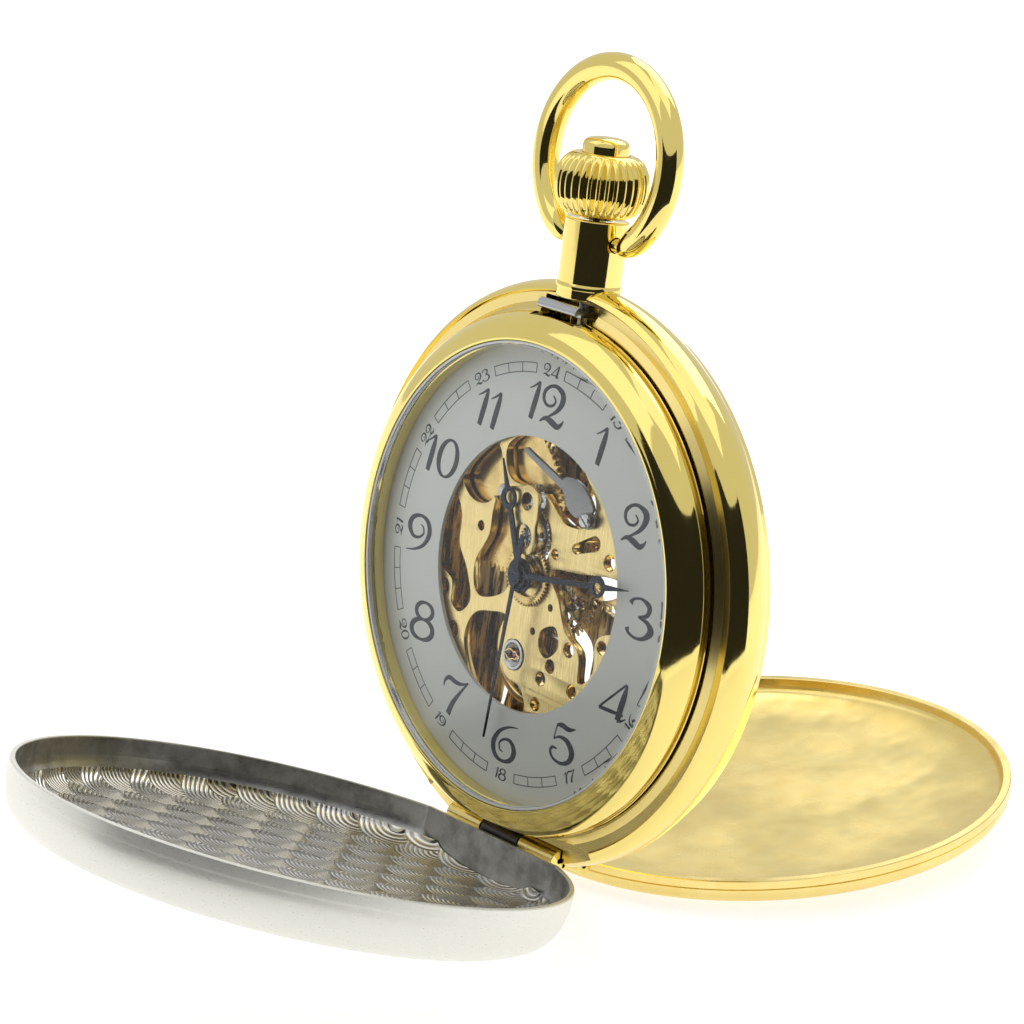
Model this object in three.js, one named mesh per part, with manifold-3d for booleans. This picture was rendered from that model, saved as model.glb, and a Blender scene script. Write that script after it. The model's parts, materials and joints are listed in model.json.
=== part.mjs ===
// A full-hunter skeleton pocket watch, standing open on its two covers.
// Everything is drawn in the watch's own frame and then leaned back as a whole:
// x points to 3 o'clock, y through the case from front to back, z to 12 o'clock,
// and the origin is the centre of the dial's front face. Millimetres.
import * as THREE from 'three';
import { mergeVertices } from 'three/addons/utils/BufferGeometryUtils.js';
import Module from 'manifold-3d';

const wasm = await Module();
wasm.setup();

// ---- Driving dimensions -------------------------------------------------------------------------
const LEAN_DEG = 6.7; // leans back until both covers touch the ground
const FRONT_OPEN_DEG = 80.4; // front cover, from closed to its stop
const REAR_OPEN_DEG = 78.3; // rear cover, from closed to its stop
const HOUR_HAND_DEG = 336.8; // clockwise from 12 o'clock
const MINUTE_HAND_DEG = 81.1;
const SECONDS_HAND_DEG = 186;
const BOW_TILT_DEG = 1.8;

const CASE_R = 24.87; // widest radius of the case band
const LEDGE_Y = 1.08; // where the front cover's rim comes to rest
const REAR_LEDGE_Y = 5.5; // where the rear cover's rim comes to rest
const CASE_BORE_R = 20.35; // inside of the case band
const BEZEL_R = 22.2;
const CRYSTAL_R = 19.4;
const DIAL_R = 19.85;
const DIAL_APERTURE_R = 11.68; // opening that shows the movement
const MOVEMENT_R = 18.3;
const COVER_R = 23.6; // front cover's rim
const REAR_COVER_R = 23.5;
const STEM_Y = 2.7; // depth of the winding stem's axis

const FRONT_HINGE = { y: 1.17, z: -23.18, r: 0.95, half: 7.2, middle: 2.45 };
const REAR_HINGE = { y: 5.14, z: -24.4, r: 0.8, half: 6.0, middle: 1.95 };
const HINGE_GAP = 0.15; // along the axis, between knuckles
const PIN_R = 0.34;
const PIN_BORE_R = 0.42;
const CHORD_Z = -21.9; // the front cover is cut straight here, beside its hinge
const CHORD_WALL = 0.45;
const BEZEL_FLAT_Z = CHORD_Z + CHORD_WALL + 0.15;

const PLATE_FRONT_Y = 0.6;
const PLATE_BACK_Y = 1.4;
const BARREL_BRIDGE_Y = [3.6, 4.15];
const RATCHET_Y = [4.25, 4.65];
const TRAIN_BRIDGE_Y = [4.0, 4.6];

// Arbors of the movement, as [x, z].
const CENTRE = [0, 0];
const BARREL_AT = [-5.16, 5.85];
const THIRD_AT = [5.2, 4.2];
const ESCAPE_AT = [3.1, -2.1];
const PALLET_AT = [1.25, -4.6];
const BALANCE_AT = [-0.83, -7.2];
const MINUTE_WHEEL_AT = [-0.6, 3.2];
const SETTING_WHEEL_AT = [-0.67, 6.2];
const CROWN_WHEEL_AT = [0, 9.9];

// Tooth numbers.
const TEETH = {
  barrel: 72,
  centrePinion: 12,
  centre: 64,
  thirdPinion: 8,
  third: 60,
  fourthPinion: 8,
  fourth: 60,
  escapePinion: 6,
  escape: 15,
  cannon: 12,
  minute: 36,
  minutePinion: 12,
  hour: 48,
  windingPinion: 16,
  crownWheel: 24,
  ratchet: 36,
  setting: 20,
};

const RING_SIDES = 36;
const ROUND_SIDES = 10;
const ARBOR_R = 0.25;
const BARREL_ARBOR_R = 0.75;
const PIVOT_GAP = 0.08; // round an arbor in its hole
const SCREW_HOLE_R = 0.42;
const THROUGH = [3, 5]; // depths that cut right through the bridges
const TOOTH = { tip: 0.3, root: 0.45 }; // height above and depth below the pitch circle, per pitch

// ---- Materials ----------------------------------------------------------------------------------
const finish = (color, roughness, metalness = 1) =>
  new THREE.MeshStandardMaterial({ color, roughness, metalness });
const polishedGold = () => finish(0xe8c55a, 0.08);
const satinGold = () => finish(0xd9b24a, 0.35);
const brass = () => finish(0xc9a24b, 0.4);
const silverPlate = () => finish(0xd9d6cd, 0.15);
const steel = () => finish(0x9a9c9f, 0.3);
const darkSteel = () => finish(0x2b2e36, 0.35);
const dialSilver = () => finish(0xc9ccd0, 0.6, 0.2);
const ruby = () => finish(0x8a2046, 0.2, 0);
const rubberWhite = () => finish(0xe8eae6, 0.6, 0);
function glass() {
  const made = finish(0xf2f7f5, 0.05, 0);
  made.transparent = true;
  made.opacity = 0.25;
  return made;
}

// ---- Solids -------------------------------------------------------------------------------------
const rad = THREE.MathUtils.degToRad;

// A closed three.js geometry as a manifold-3d solid with its faces outwards.
function solid(geometry) {
  const bare = geometry.clone();
  for (const name of Object.keys(bare.attributes)) {
    if (name !== 'position') bare.deleteAttribute(name);
  }
  const merged = mergeVertices(bare, 1e-4);
  const kept = [];
  const index = merged.index.array;
  for (let i = 0; i < index.length; i += 3) {
    const [a, b, c] = [index[i], index[i + 1], index[i + 2]];
    if (a !== b && b !== c && a !== c) kept.push(a, b, c);
  }
  const build = (triVerts) =>
    new wasm.Manifold(
      new wasm.Mesh({
        numProp: 3,
        vertProperties: new Float32Array(merged.attributes.position.array),
        triVerts: new Uint32Array(triVerts),
      }),
    );
  const made = build(kept);
  if (made.volume() > 0) return made;
  const turned = [];
  for (let i = 0; i < kept.length; i += 3) turned.push(kept[i], kept[i + 2], kept[i + 1]);
  return build(turned);
}

function geometryOf(body) {
  const mesh = body.getMesh();
  const stride = mesh.numProp;
  const positions = new Float32Array(mesh.numVert * 3);
  for (let i = 0; i < mesh.numVert; i++) {
    positions.set(mesh.vertProperties.subarray(i * stride, i * stride + 3), i * 3);
  }
  const geometry = new THREE.BufferGeometry();
  geometry.setAttribute('position', new THREE.BufferAttribute(positions, 3));
  geometry.setIndex(new THREE.BufferAttribute(new Uint32Array(mesh.triVerts), 1));
  geometry.computeVertexNormals();
  return geometry;
}

function join(first, ...others) {
  return others.reduce((whole, piece) => whole.add(piece), first);
}

function cut(first, ...tools) {
  return tools.reduce((whole, tool) => whole.subtract(tool), first);
}

// A solid of revolution about the y direction through [x, z]; profile points are [radius, y].
// A facet, not an edge, faces 6 o'clock, so that the open covers stand flat.
function turned(profile, [x, z] = CENTRE, sides = ROUND_SIDES) {
  const points = profile.map(([r, y]) => new THREE.Vector2(r, y));
  if (profile[0][0] > 0 || profile[profile.length - 1][0] > 0) points.push(points[0].clone());
  const geometry = new THREE.LatheGeometry(points, sides, Math.PI / sides);
  geometry.translate(x, 0, z);
  return solid(geometry);
}

const ring = (profile) => turned(profile, CENTRE, RING_SIDES);

const washer = (inner, outer, y0, y1, at = CENTRE, sides = ROUND_SIDES) =>
  turned(
    [
      [inner, y0],
      [outer, y0],
      [outer, y1],
      [inner, y1],
    ],
    at,
    sides,
  );

const rod = (r, y0, y1, at = CENTRE, sides = ROUND_SIDES) =>
  turned(
    [
      [0, y0],
      [r, y0],
      [r, y1],
      [0, y1],
    ],
    at,
    sides,
  );

// A solid of revolution about the stem's axis; profile points are [radius, z].
function upright(profile, sides = 24, reshape = null) {
  const points = profile.map(([r, z]) => new THREE.Vector2(r, z));
  if (profile[0][0] > 0 || profile[profile.length - 1][0] > 0) points.push(points[0].clone());
  const geometry = new THREE.LatheGeometry(points, sides);
  if (reshape) reshape(geometry);
  geometry.rotateX(Math.PI / 2);
  geometry.translate(0, STEM_Y, 0);
  return solid(geometry);
}

function box([x0, x1], [y0, y1], [z0, z1]) {
  const geometry = new THREE.BoxGeometry(x1 - x0, y1 - y0, z1 - z0);
  geometry.translate((x0 + x1) / 2, (y0 + y1) / 2, (z0 + z1) / 2);
  return solid(geometry);
}

// A round bar along x.
function crossRod(r, [x0, x1], y, z, sides = ROUND_SIDES) {
  const geometry = new THREE.CylinderGeometry(r, r, x1 - x0, sides);
  geometry.rotateZ(Math.PI / 2);
  geometry.translate((x0 + x1) / 2, y, z);
  return solid(geometry);
}

// A flat piece cut from sheet: an outline in x and z, between two depths.
function sheet(shape, [y0, y1], steps = 6) {
  const geometry = new THREE.ExtrudeGeometry(shape, {
    depth: y1 - y0,
    bevelEnabled: false,
    curveSegments: steps,
  });
  geometry.rotateX(Math.PI / 2);
  geometry.translate(0, y1, 0);
  return solid(geometry);
}

// A smooth closed outline through hand-placed points.
function blob(points, count = 18) {
  const curve = new THREE.CatmullRomCurve3(
    points.map(([x, z]) => new THREE.Vector3(x, z, 0)),
    true,
    'centripetal',
  );
  return new THREE.Shape(curve.getPoints(count).slice(0, -1).map((p) => new THREE.Vector2(p.x, p.y)));
}

const disc = (r, [x, z] = CENTRE) => {
  const shape = new THREE.Shape();
  shape.absarc(x, z, r, 0, 2 * Math.PI, false);
  return shape;
};

// A bar with round ends between two points.
function link([x0, z0], [x1, z1], r0, r1 = r0) {
  const angle = Math.atan2(z1 - z0, x1 - x0);
  const shape = new THREE.Shape();
  shape.absarc(x0, z0, r0, angle + Math.PI / 2, angle - Math.PI / 2, false);
  shape.absarc(x1, z1, r1, angle - Math.PI / 2, angle + Math.PI / 2, false);
  return shape;
}

// The direction from one arbor to another.
const bearing = ([x0, z0], [x1, z1]) => Math.atan2(z1 - z0, x1 - x0);
const apart = ([x0, z0], [x1, z1]) => Math.hypot(x1 - x0, z1 - z0);

// Pitch radii of a pair of meshing gears at a given distance.
function pitchRadii(distance, teethA, teethB) {
  const perTooth = distance / (teethA + teethB);
  return [perTooth * teethA, perTooth * teethB];
}

// Outline of a gear with pointed teeth. toothAt is the angle of one tooth's tip.
function gearOutline(teeth, pitchR, toothAt, at = CENTRE) {
  const pitch = (2 * Math.PI * pitchR) / teeth;
  const tipR = pitchR + TOOTH.tip * pitch;
  const rootR = pitchR - TOOTH.root * pitch;
  const points = [];
  for (let i = 0; i < teeth; i++) {
    for (const [r, turn] of [
      [tipR, 0],
      [rootR, 0.5],
    ]) {
      const angle = toothAt + (2 * Math.PI * (i + turn)) / teeth;
      points.push(new THREE.Vector2(at[0] + r * Math.cos(angle), at[1] + r * Math.sin(angle)));
    }
  }
  return new THREE.Shape(points);
}

// A gear with arms: a toothed rim, a hub and straight spokes.
const SPOKES = { count: 4, halfWidth: 0.22, rim: 0.5, hubR: 0.9 };
function spokedGear(teeth, pitchR, toothAt, at, depths) {
  const shape = gearOutline(teeth, pitchR, toothAt, at);
  const toothDepth = (TOOTH.root * 2 * Math.PI * pitchR) / teeth;
  const outerR = pitchR - toothDepth - SPOKES.rim;
  const innerTurn = Math.asin(SPOKES.halfWidth / SPOKES.hubR);
  const outerTurn = Math.asin(SPOKES.halfWidth / outerR);
  for (let i = 0; i < SPOKES.count; i++) {
    const from = (2 * Math.PI * i) / SPOKES.count;
    const to = (2 * Math.PI * (i + 1)) / SPOKES.count;
    const hole = new THREE.Path();
    hole.absarc(...at, outerR, from + outerTurn, to - outerTurn, false);
    hole.absarc(...at, SPOKES.hubR, to - innerTurn, from + innerTurn, true);
    shape.holes.push(hole);
  }
  return sheet(shape, depths, 2);
}

const plainGear = (teeth, pitchR, toothAt, at, depths) =>
  sheet(gearOutline(teeth, pitchR, toothAt, at), depths);

// The angle that puts a gap, not a tooth, at the given bearing.
const gapAt = (angle, teeth) => angle + Math.PI / teeth;

// A flat-headed slotted screw, head to the back of the watch or to the front.
function screw([x, z], headY, tailY, { headR = 0.8, headH = 0.4, slotDeg = 30 } = {}) {
  const away = Math.sign(headY - tailY);
  const shoulder = headY - away * headH;
  const body = turned(
    [
      [0, headY],
      [headR * 0.9, headY],
      [headR, headY - away * 0.1],
      [headR, shoulder],
      [headR * 0.5, shoulder],
      [headR * 0.5, tailY],
      [0, tailY],
    ],
    [x, z],
  );
  const slot = new THREE.BoxGeometry(2.4 * headR, 0.4, 0.22);
  slot.rotateY(rad(slotDeg));
  slot.translate(x, headY, z);
  return cut(body, solid(slot));
}

// ---- The scene graph ----------------------------------------------------------------------------
const watch = new THREE.Group();
watch.rotation.x = -rad(LEAN_DEG);

const frontPivot = new THREE.Group();
frontPivot.position.set(0, FRONT_HINGE.y, FRONT_HINGE.z);
frontPivot.rotation.x = rad(FRONT_OPEN_DEG);
const rearPivot = new THREE.Group();
rearPivot.position.set(0, REAR_HINGE.y, REAR_HINGE.z);
rearPivot.rotation.x = -rad(REAR_OPEN_DEG);
watch.add(frontPivot, rearPivot);

function put(name, body, material, group = watch) {
  const mesh = new THREE.Mesh(geometryOf(body), material);
  mesh.name = name;
  if (group !== watch) mesh.position.copy(group.position).negate();
  group.add(mesh);
  return mesh;
}

// ---- Case ---------------------------------------------------------------------------------------
const bandOuter = [
  [23.95, 0.9],
  [24.55, 1.4],
  [CASE_R, 2.6],
  [24.6, 3.95],
  [24.2, 4.65],
  [23.7, 5.45],
];

function hingeKnuckles(hinge) {
  const outerEnds = [
    [-hinge.half, -hinge.middle - HINGE_GAP],
    [hinge.middle + HINGE_GAP, hinge.half],
  ];
  return outerEnds.map((span) => ({ span, tube: crossRod(hinge.r, span, hinge.y, hinge.z) }));
}

function caseBand() {
  const body = ring([
    [CASE_BORE_R, 0.55],
    [22.35, 0.7],
    [22.95, LEDGE_Y + 0.04],
    [23.75, LEDGE_Y + 0.04],
    ...bandOuter,
    [22.45, 5.45],
    [22.45, 5.2],
    [CASE_BORE_R, 5.2],
  ]);
  const wallSeat = box([-11, 11], [-1, 1.3], [-26, CHORD_Z + CHORD_WALL + 0.2]);
  const frontPocket = box([-7.4, 7.4], [-1, 2.25], [-25.5, -22.15]);
  const rearPocket = box([-6.2, 6.2], [4.2, 6.2], [-26, -23.45]);
  const latchPocket = box([-3.5, 3.5], [0, 4.1], [21.6, 23.45]);
  const stemHole = upright([
    [0, 19],
    [1.05, 19],
    [1.05, 26],
    [0, 26],
  ]);
  let band = cut(body, wallSeat, frontPocket, rearPocket, latchPocket, stemHole);
  for (const { span, tube } of hingeKnuckles(FRONT_HINGE)) {
    band = join(band, tube, box(span, [1.5, 2.5], [-23.9, -22.3]));
  }
  for (const { span, tube } of hingeKnuckles(REAR_HINGE)) {
    band = join(band, tube, box(span, [4.0, 5.0], [-24.3, -23.2]));
  }
  const bore = (hinge) => crossRod(PIN_BORE_R, [-hinge.half - 1, hinge.half + 1], hinge.y, hinge.z);
  return cut(band, bore(FRONT_HINGE), bore(REAR_HINGE));
}

function frontBezel() {
  const body = ring([
    [19.3, -0.05],
    [20.0, -0.05],
    [20.0, 0.45],
    [BEZEL_R, 0.45],
    [BEZEL_R, -0.3],
    [21.9, -1.1],
    [21.2, -1.85],
    [20.3, -2.25],
    [19.75, -2.32],
    [19.75, -1.25],
    [19.3, -1.25],
  ]);
  const latchNotch = box([-2.9, 2.9], [-1, 1], [21.55, 23]);
  // The skirt is flat here, to let the cover's straight wall shut beside it.
  const coverFlat = box([-9, 9], [-3, 1], [-23, BEZEL_FLAT_Z]);
  return cut(body, latchNotch, coverFlat);
}

put('case_band', caseBand(), polishedGold());
put('front_bezel', frontBezel(), polishedGold());
put(
  'front_crystal',
  ring([
    [0, -2.75],
    [10, -2.68],
    [16, -2.5],
    [CRYSTAL_R, -2.3],
    [CRYSTAL_R, -1.3],
    [0, -1.3],
  ]),
  glass(),
);
put('front_gasket', washer(19.46, 19.69, -2.2, -1.3, CENTRE, RING_SIDES), rubberWhite());
put(
  'rear_bezel',
  ring([
    [19.3, 5.28],
    [22.35, 5.28],
    [22.35, 5.85],
    [21.6, 6.45],
    [20.3, 6.75],
    [19.75, 6.75],
    [19.75, 5.9],
    [19.3, 5.9],
  ]),
  polishedGold(),
);
put(
  'rear_crystal',
  ring([
    [0, 6.9],
    [CRYSTAL_R, 6.7],
    [CRYSTAL_R, 5.95],
    [0, 5.95],
  ]),
  glass(),
);
put('rear_gasket', washer(19.46, 19.69, 5.95, 6.65, CENTRE, RING_SIDES), rubberWhite());

// ---- Pendant, bow, crown ------------------------------------------------------------------------
const NECK = { r: 2.7, bore: 1.3, base: 23.6, top: 30.3 };
const BOW = { r: 7.75, z: 35.14, wire: 1.18, pivotZ: 28.5, pivotR: 0.6, halfGapDeg: 28 };

function pendantTube() {
  const tube = upright([
    [NECK.bore, NECK.base],
    [NECK.r, NECK.base],
    [NECK.r, NECK.top - 0.15],
    [NECK.r - 0.15, NECK.top],
    [NECK.bore, NECK.top],
  ]);
  const seat = ring([[0, 0.4], ...bandOuter.map(([r, y]) => [r + 0.07, y]), [0, 5.6]]);
  const clear = rod(24.1, -2, 9, CENTRE, RING_SIDES);
  const pivotHoles = crossRod(BOW.pivotR + PIVOT_GAP, [-4, 4], STEM_Y, BOW.pivotZ);
  return cut(tube, seat, clear, pivotHoles);
}

function bow() {
  const gap = rad(BOW.halfGapDeg);
  const path = new THREE.CatmullRomCurve3(
    Array.from({ length: 25 }, (_, i) => {
      const angle = -Math.PI / 2 + gap + ((2 * Math.PI - 2 * gap) * i) / 24;
      return new THREE.Vector3(BOW.r * Math.cos(angle), STEM_Y, BOW.z + BOW.r * Math.sin(angle));
    }),
  );
  const section = new THREE.Shape();
  section.absarc(0, 0, BOW.wire, 0, 2 * Math.PI, false);
  const loop = solid(
    new THREE.ExtrudeGeometry(section, { steps: 26, curveSegments: 4, extrudePath: path }),
  );
  const pivots = [-1, 1].map((side) => {
    const span = side < 0 ? [-4.3, -1.75] : [1.75, 4.3];
    return crossRod(BOW.pivotR, span, STEM_Y, BOW.pivotZ);
  });
  return join(loop, ...pivots);
}

const bowPivot = new THREE.Group();
bowPivot.position.set(0, STEM_Y, BOW.pivotZ);
bowPivot.rotation.x = -rad(BOW_TILT_DEG);
watch.add(bowPivot);

put('pendant_tube', pendantTube(), polishedGold());
put('bow', bow(), polishedGold(), bowPivot);

const CROWN_FLUTES = 32;

function fluted(geometry) {
  const position = geometry.attributes.position;
  for (let i = 0; i < position.count; i++) {
    const [x, y, z] = [position.getX(i), position.getY(i), position.getZ(i)];
    const r = Math.hypot(x, z);
    const turn = (Math.atan2(x, z) / (2 * Math.PI)) * CROWN_FLUTES;
    const inGroove = Math.abs(turn - Math.round(turn)) > 0.25;
    if (r > 3 && inGroove) position.setXYZ(i, x * 0.9, y, z * 0.9);
  }
}

function crown() {
  const body = upright(
    [
      [0, 30.6],
      [2.7, 30.6],
      [3.75, 31.8],
      [4.0, 33.1],
      [3.75, 34.5],
      [2.75, 35.7],
      [0, 35.8],
    ],
    2 * CROWN_FLUTES,
    fluted,
  );
  const well = upright([
    [0, 30],
    [0.78, 30],
    [0.78, 31.9],
    [0, 31.9],
  ]);
  const buttonWell = upright([
    [0, 32.2],
    [0.6, 32.2],
    [0.6, 33.9],
    [2.1, 33.9],
    [2.1, 36.5],
    [0, 36.5],
  ]);
  return cut(body, well, buttonWell);
}

put('crown', crown(), polishedGold());
put(
  'crown_button',
  upright([
    [0, 33.2],
    [0.5, 33.2],
    [0.5, 34.9],
    [1.98, 34.9],
    [1.98, 36.6],
    [1.4, 36.98],
    [0, 37.12],
  ]),
  polishedGold(),
);
const STEM_R = 0.7;
const STEM_END_Z = 11.9;
put(
  'winding_stem',
  upright(
    [
      [0, STEM_END_Z],
      [STEM_R, STEM_END_Z],
      [STEM_R, 31.8],
      [0, 31.8],
    ],
    ROUND_SIDES,
  ),
  steel(),
);

// ---- Latch --------------------------------------------------------------------------------------
// A steel tongue that stands out of a slot in the ledge and hooks the front cover's rim.
function latch() {
  const tongue = box([-2.5, 2.5], [-0.55, 3.9], [22.35, 22.85]);
  const hook = box([-2.5, 2.5], [-0.55, 0.05], [22.6, 23.3]);
  const stemHole = upright([
    [0, 21],
    [1.0, 21],
    [1.0, 24],
    [0, 24],
  ]);
  return cut(join(tongue, hook), stemHole);
}
put('latch', latch(), steel());

// ---- Covers, drawn closed and swung open about their hinges -------------------------------------
const BIG = 60;

function frontCover() {
  const outer = ring([
    [0, LEDGE_Y],
    [COVER_R, LEDGE_Y],
    [COVER_R, LEDGE_Y - 0.9],
    [23.45, LEDGE_Y - 2.3],
    [22.7, LEDGE_Y - 3.9],
    [21.0, LEDGE_Y - 4.95],
    [17, LEDGE_Y - 5.4],
    [0, LEDGE_Y - 5.65],
  ]);
  const hollow = ring([
    [0, LEDGE_Y + 1],
    [23.1, LEDGE_Y + 1],
    [23.1, LEDGE_Y - 1.6],
    [22.7, LEDGE_Y - 2.65],
    [20.85, LEDGE_Y - 4.0],
    [17, LEDGE_Y - 4.6],
    [0, LEDGE_Y - 4.9],
  ]);
  const above = (z) => box([-BIG, BIG], [-BIG, BIG], [z, BIG]);
  const shell = cut(outer.intersect(above(CHORD_Z)), hollow.intersect(above(CHORD_Z + CHORD_WALL)));
  const catchNotch = box([-3.2, 3.2], [-0.85, 0.4], [22.7, 23.36]);
  const span = [-FRONT_HINGE.middle, FRONT_HINGE.middle];
  const leaf = box(span, [0.3, LEDGE_Y - 0.05], [FRONT_HINGE.z, CHORD_Z + 0.2]);
  const knuckle = crossRod(FRONT_HINGE.r, span, FRONT_HINGE.y, FRONT_HINGE.z);
  const bore = crossRod(PIN_BORE_R, [-9, 9], FRONT_HINGE.y, FRONT_HINGE.z);
  return cut(join(cut(shell, catchNotch), leaf, knuckle), bore);
}

function frontCoverLiner() {
  const plate = ring([
    [0, LEDGE_Y - 4.2],
    [17, LEDGE_Y - 3.95],
    [20.6, LEDGE_Y - 3.5],
    [22.25, LEDGE_Y - 2.5],
    [22.45, LEDGE_Y - 2.62],
    [20.75, LEDGE_Y - 3.68],
    [17, LEDGE_Y - 4.14],
    [0, LEDGE_Y - 4.4],
  ]);
  return plate.intersect(box([-BIG, BIG], [-BIG, BIG], [CHORD_Z + CHORD_WALL + 0.1, BIG]));
}

function rearCover() {
  const shell = ring([
    [0, REAR_LEDGE_Y + 2.2],
    [19, REAR_LEDGE_Y + 1.95],
    [22.75, REAR_LEDGE_Y + 1.2],
    [22.75, REAR_LEDGE_Y],
    [REAR_COVER_R, REAR_LEDGE_Y],
    [REAR_COVER_R, REAR_LEDGE_Y + 1.0],
    [23.2, REAR_LEDGE_Y + 2.0],
    [20.8, REAR_LEDGE_Y + 2.5],
    [14, REAR_LEDGE_Y + 2.75],
    [0, REAR_LEDGE_Y + 2.75],
  ]);
  const span = [-REAR_HINGE.middle, REAR_HINGE.middle];
  const leaf = box(span, [5.52, 5.92], [REAR_HINGE.z, -23.1]);
  const knuckle = crossRod(REAR_HINGE.r, span, REAR_HINGE.y, REAR_HINGE.z);
  const bore = crossRod(PIN_BORE_R, [-9, 9], REAR_HINGE.y, REAR_HINGE.z);
  return cut(join(shell, leaf, knuckle), bore);
}

put('front_cover', frontCover(), silverPlate(), frontPivot);
put('front_cover_liner', frontCoverLiner(), silverPlate(), frontPivot);
put('rear_cover', rearCover(), satinGold(), rearPivot);
for (const [name, hinge] of [
  ['front_hinge_pin', FRONT_HINGE],
  ['rear_hinge_pin', REAR_HINGE],
]) {
  put(name, crossRod(PIN_R, [-hinge.half, hinge.half], hinge.y, hinge.z), steel());
}

// ---- Dial and fixed plates of the movement ------------------------------------------------------
put('dial', washer(DIAL_APERTURE_R, DIAL_R, 0.02, 0.42, CENTRE, RING_SIDES), dialSilver());

const stemPassage = () =>
  upright([
    [0, 8],
    [1.05, 8],
    [1.05, 22],
    [0, 22],
  ]);

put(
  'movement_ring',
  cut(washer(18.45, 20.2, 0.5, 4.6, CENTRE, RING_SIDES), stemPassage()),
  brass(),
);

// Openings sawn through the skeleton mainplate.
const plateWindows = [
  // beside 10 o'clock
  [[-10.3, 6.4], [-8.3, 8.8], [-6.5, 10.1], [-5.3, 8.4], [-5.9, 5.4], [-7.4, 4.5], [-9.2, 4.8]],
  // beside 9 o'clock, with the bottle-shaped slot below it
  [[-12.2, 4.2], [-10.6, 4.2], [-9.8, 2.6], [-9.7, 0.4], [-8.3, -1.6], [-7.4, -4.0], [-8.6, -5.4],
    [-9.8, -4.9], [-10.1, -3.0], [-12.3, -1.8], [-13, 1]],
  // between the arm and the centre
  [[-5.0, 6.7], [-3.0, 5.8], [-2.6, 3.6], [-2.3, 1.2], [-2.3, -0.9], [-3.6, -2.6], [-6.5, -3.3],
    [-7.3, -0.8], [-5.9, 2.0], [-5.7, 4.6]],
  // over the balance
  [[-7.5, -7.6], [-6.6, -5.1], [-4.2, -4.3], [-2.4, -4.2], [-2.3, -5.6], [-2.7, -7.3], [-1.6, -9.2],
    [0.5, -9.8], [1.2, -11.8], [-2.6, -12.3], [-5.8, -10.9]],
  // towards 3 o'clock, seen right through
  [[2.5, 0.9], [6.4, 1.6], [10.6, 2.2], [12.4, 1.2], [12.4, -1.6], [9.3, -3.1], [9.2, -6.1],
    [7.7, -7.4], [7.3, -5.0], [5.3, -3.6], [4.0, -1.2]],
  // keyless works, up to the winding pinion
  [[-4.9, 9.9], [-3.2, 11.6], [-2.4, 13.6], [2.4, 13.6], [4.6, 10.6], [7.0, 7.8], [6.2, 5.6],
    [3.9, 5.2], [2.4, 5.9], [0, 7.4], [-2.2, 7.2], [-4.2, 7.6]],
];
const plateHoles = [
  [[-7.1, 2.55], 0.42],
  [[-11.2, -3.8], 0.8],
  [[-9.25, -7.2], 0.75],
  [[2.8, 2.45], 0.42],
  [[9.6, 3.35], 0.68],
  [[6.0, -5.0], 0.62],
  [[3.95, -6.95], 0.58],
  [[2.95, -8.3], 0.62],
  [[6.95, -8.3], 0.58],
  [[2.65, -10.6], 0.58],
  [[10.0, -3.75], 0.58],
];

function mainplate() {
  const depths = [PLATE_FRONT_Y, PLATE_BACK_Y];
  const cutDepths = [PLATE_FRONT_Y - 1, PLATE_BACK_Y + 1];
  let plate = washer(0.7, MOVEMENT_R, ...depths, CENTRE, RING_SIDES);
  plate = cut(plate, rod(1.15, -1, 0.97));
  for (const points of plateWindows) {
    plate = cut(plate, sheet(blob(points, 15), cutDepths));
  }
  for (const [at, r] of plateHoles) {
    plate = cut(plate, rod(r, ...cutDepths, at, 8));
  }
  const recess = join(
    rod(2.85, ...cutDepths, MINUTE_WHEEL_AT, 24),
    rod(1.6, ...cutDepths, SETTING_WHEEL_AT, 14),
  );
  const dWindow = blob([[2.3, -4.3], [4.0, -3.6], [4.6, -5.2], [3.3, -6.4], [2.3, -5.8]], 12);
  const slot = link([5.3, 3.5], [7.6, 4.5], 0.4, 0.62);
  plate = cut(plate, recess, sheet(dWindow, cutDepths), sheet(slot, cutDepths, 5));
  for (const at of [ESCAPE_AT, PALLET_AT]) {
    plate = cut(plate, rod(ARBOR_R + PIVOT_GAP, ...cutDepths, at));
  }
  plate = cut(plate, rod(1.4, ...cutDepths, BALANCE_AT, 16));
  return cut(plate, rod(BARREL_ARBOR_R + PIVOT_GAP, ...cutDepths, BARREL_AT));
}
put('mainplate', mainplate(), brass());

// The lower balance setting: a ring pressed in the plate with the jewel in it.
put('balance_setting', washer(0.5, 1.32, 0.55, 1.35, BALANCE_AT, 16), steel());
put('balance_jewel', rod(0.42, 0.6, 1.2, BALANCE_AT), ruby());

// The bridge over the motion work, with its two round windows.
function centreBridge() {
  const shape = blob(
    [[-1.9, 7.2], [-0.6, 7.6], [0.7, 7.0], [0.9, 5.4], [0.8, 4.2], [1.1, 2.9], [0.5, 1.9], [-0.6, 1.7],
      [-1.8, 2.2], [-2.0, 3.8], [-2.2, 5.4], [-3.3, 5.3], [-3.9, 6.0], [-3.2, 6.9]],
    34,
  );
  const depths = [-0.15, 0.15];
  const windows = [rod(1.05, -1, 1, MINUTE_WHEEL_AT, 14), rod(0.75, -1, 1, SETTING_WHEEL_AT, 12)];
  const foot = rod(0.55, 0.1, 0.55, [-3.1, 6.0]);
  return join(cut(sheet(shape, depths), ...windows), foot);
}
put('centre_bridge', centreBridge(), brass());

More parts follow.
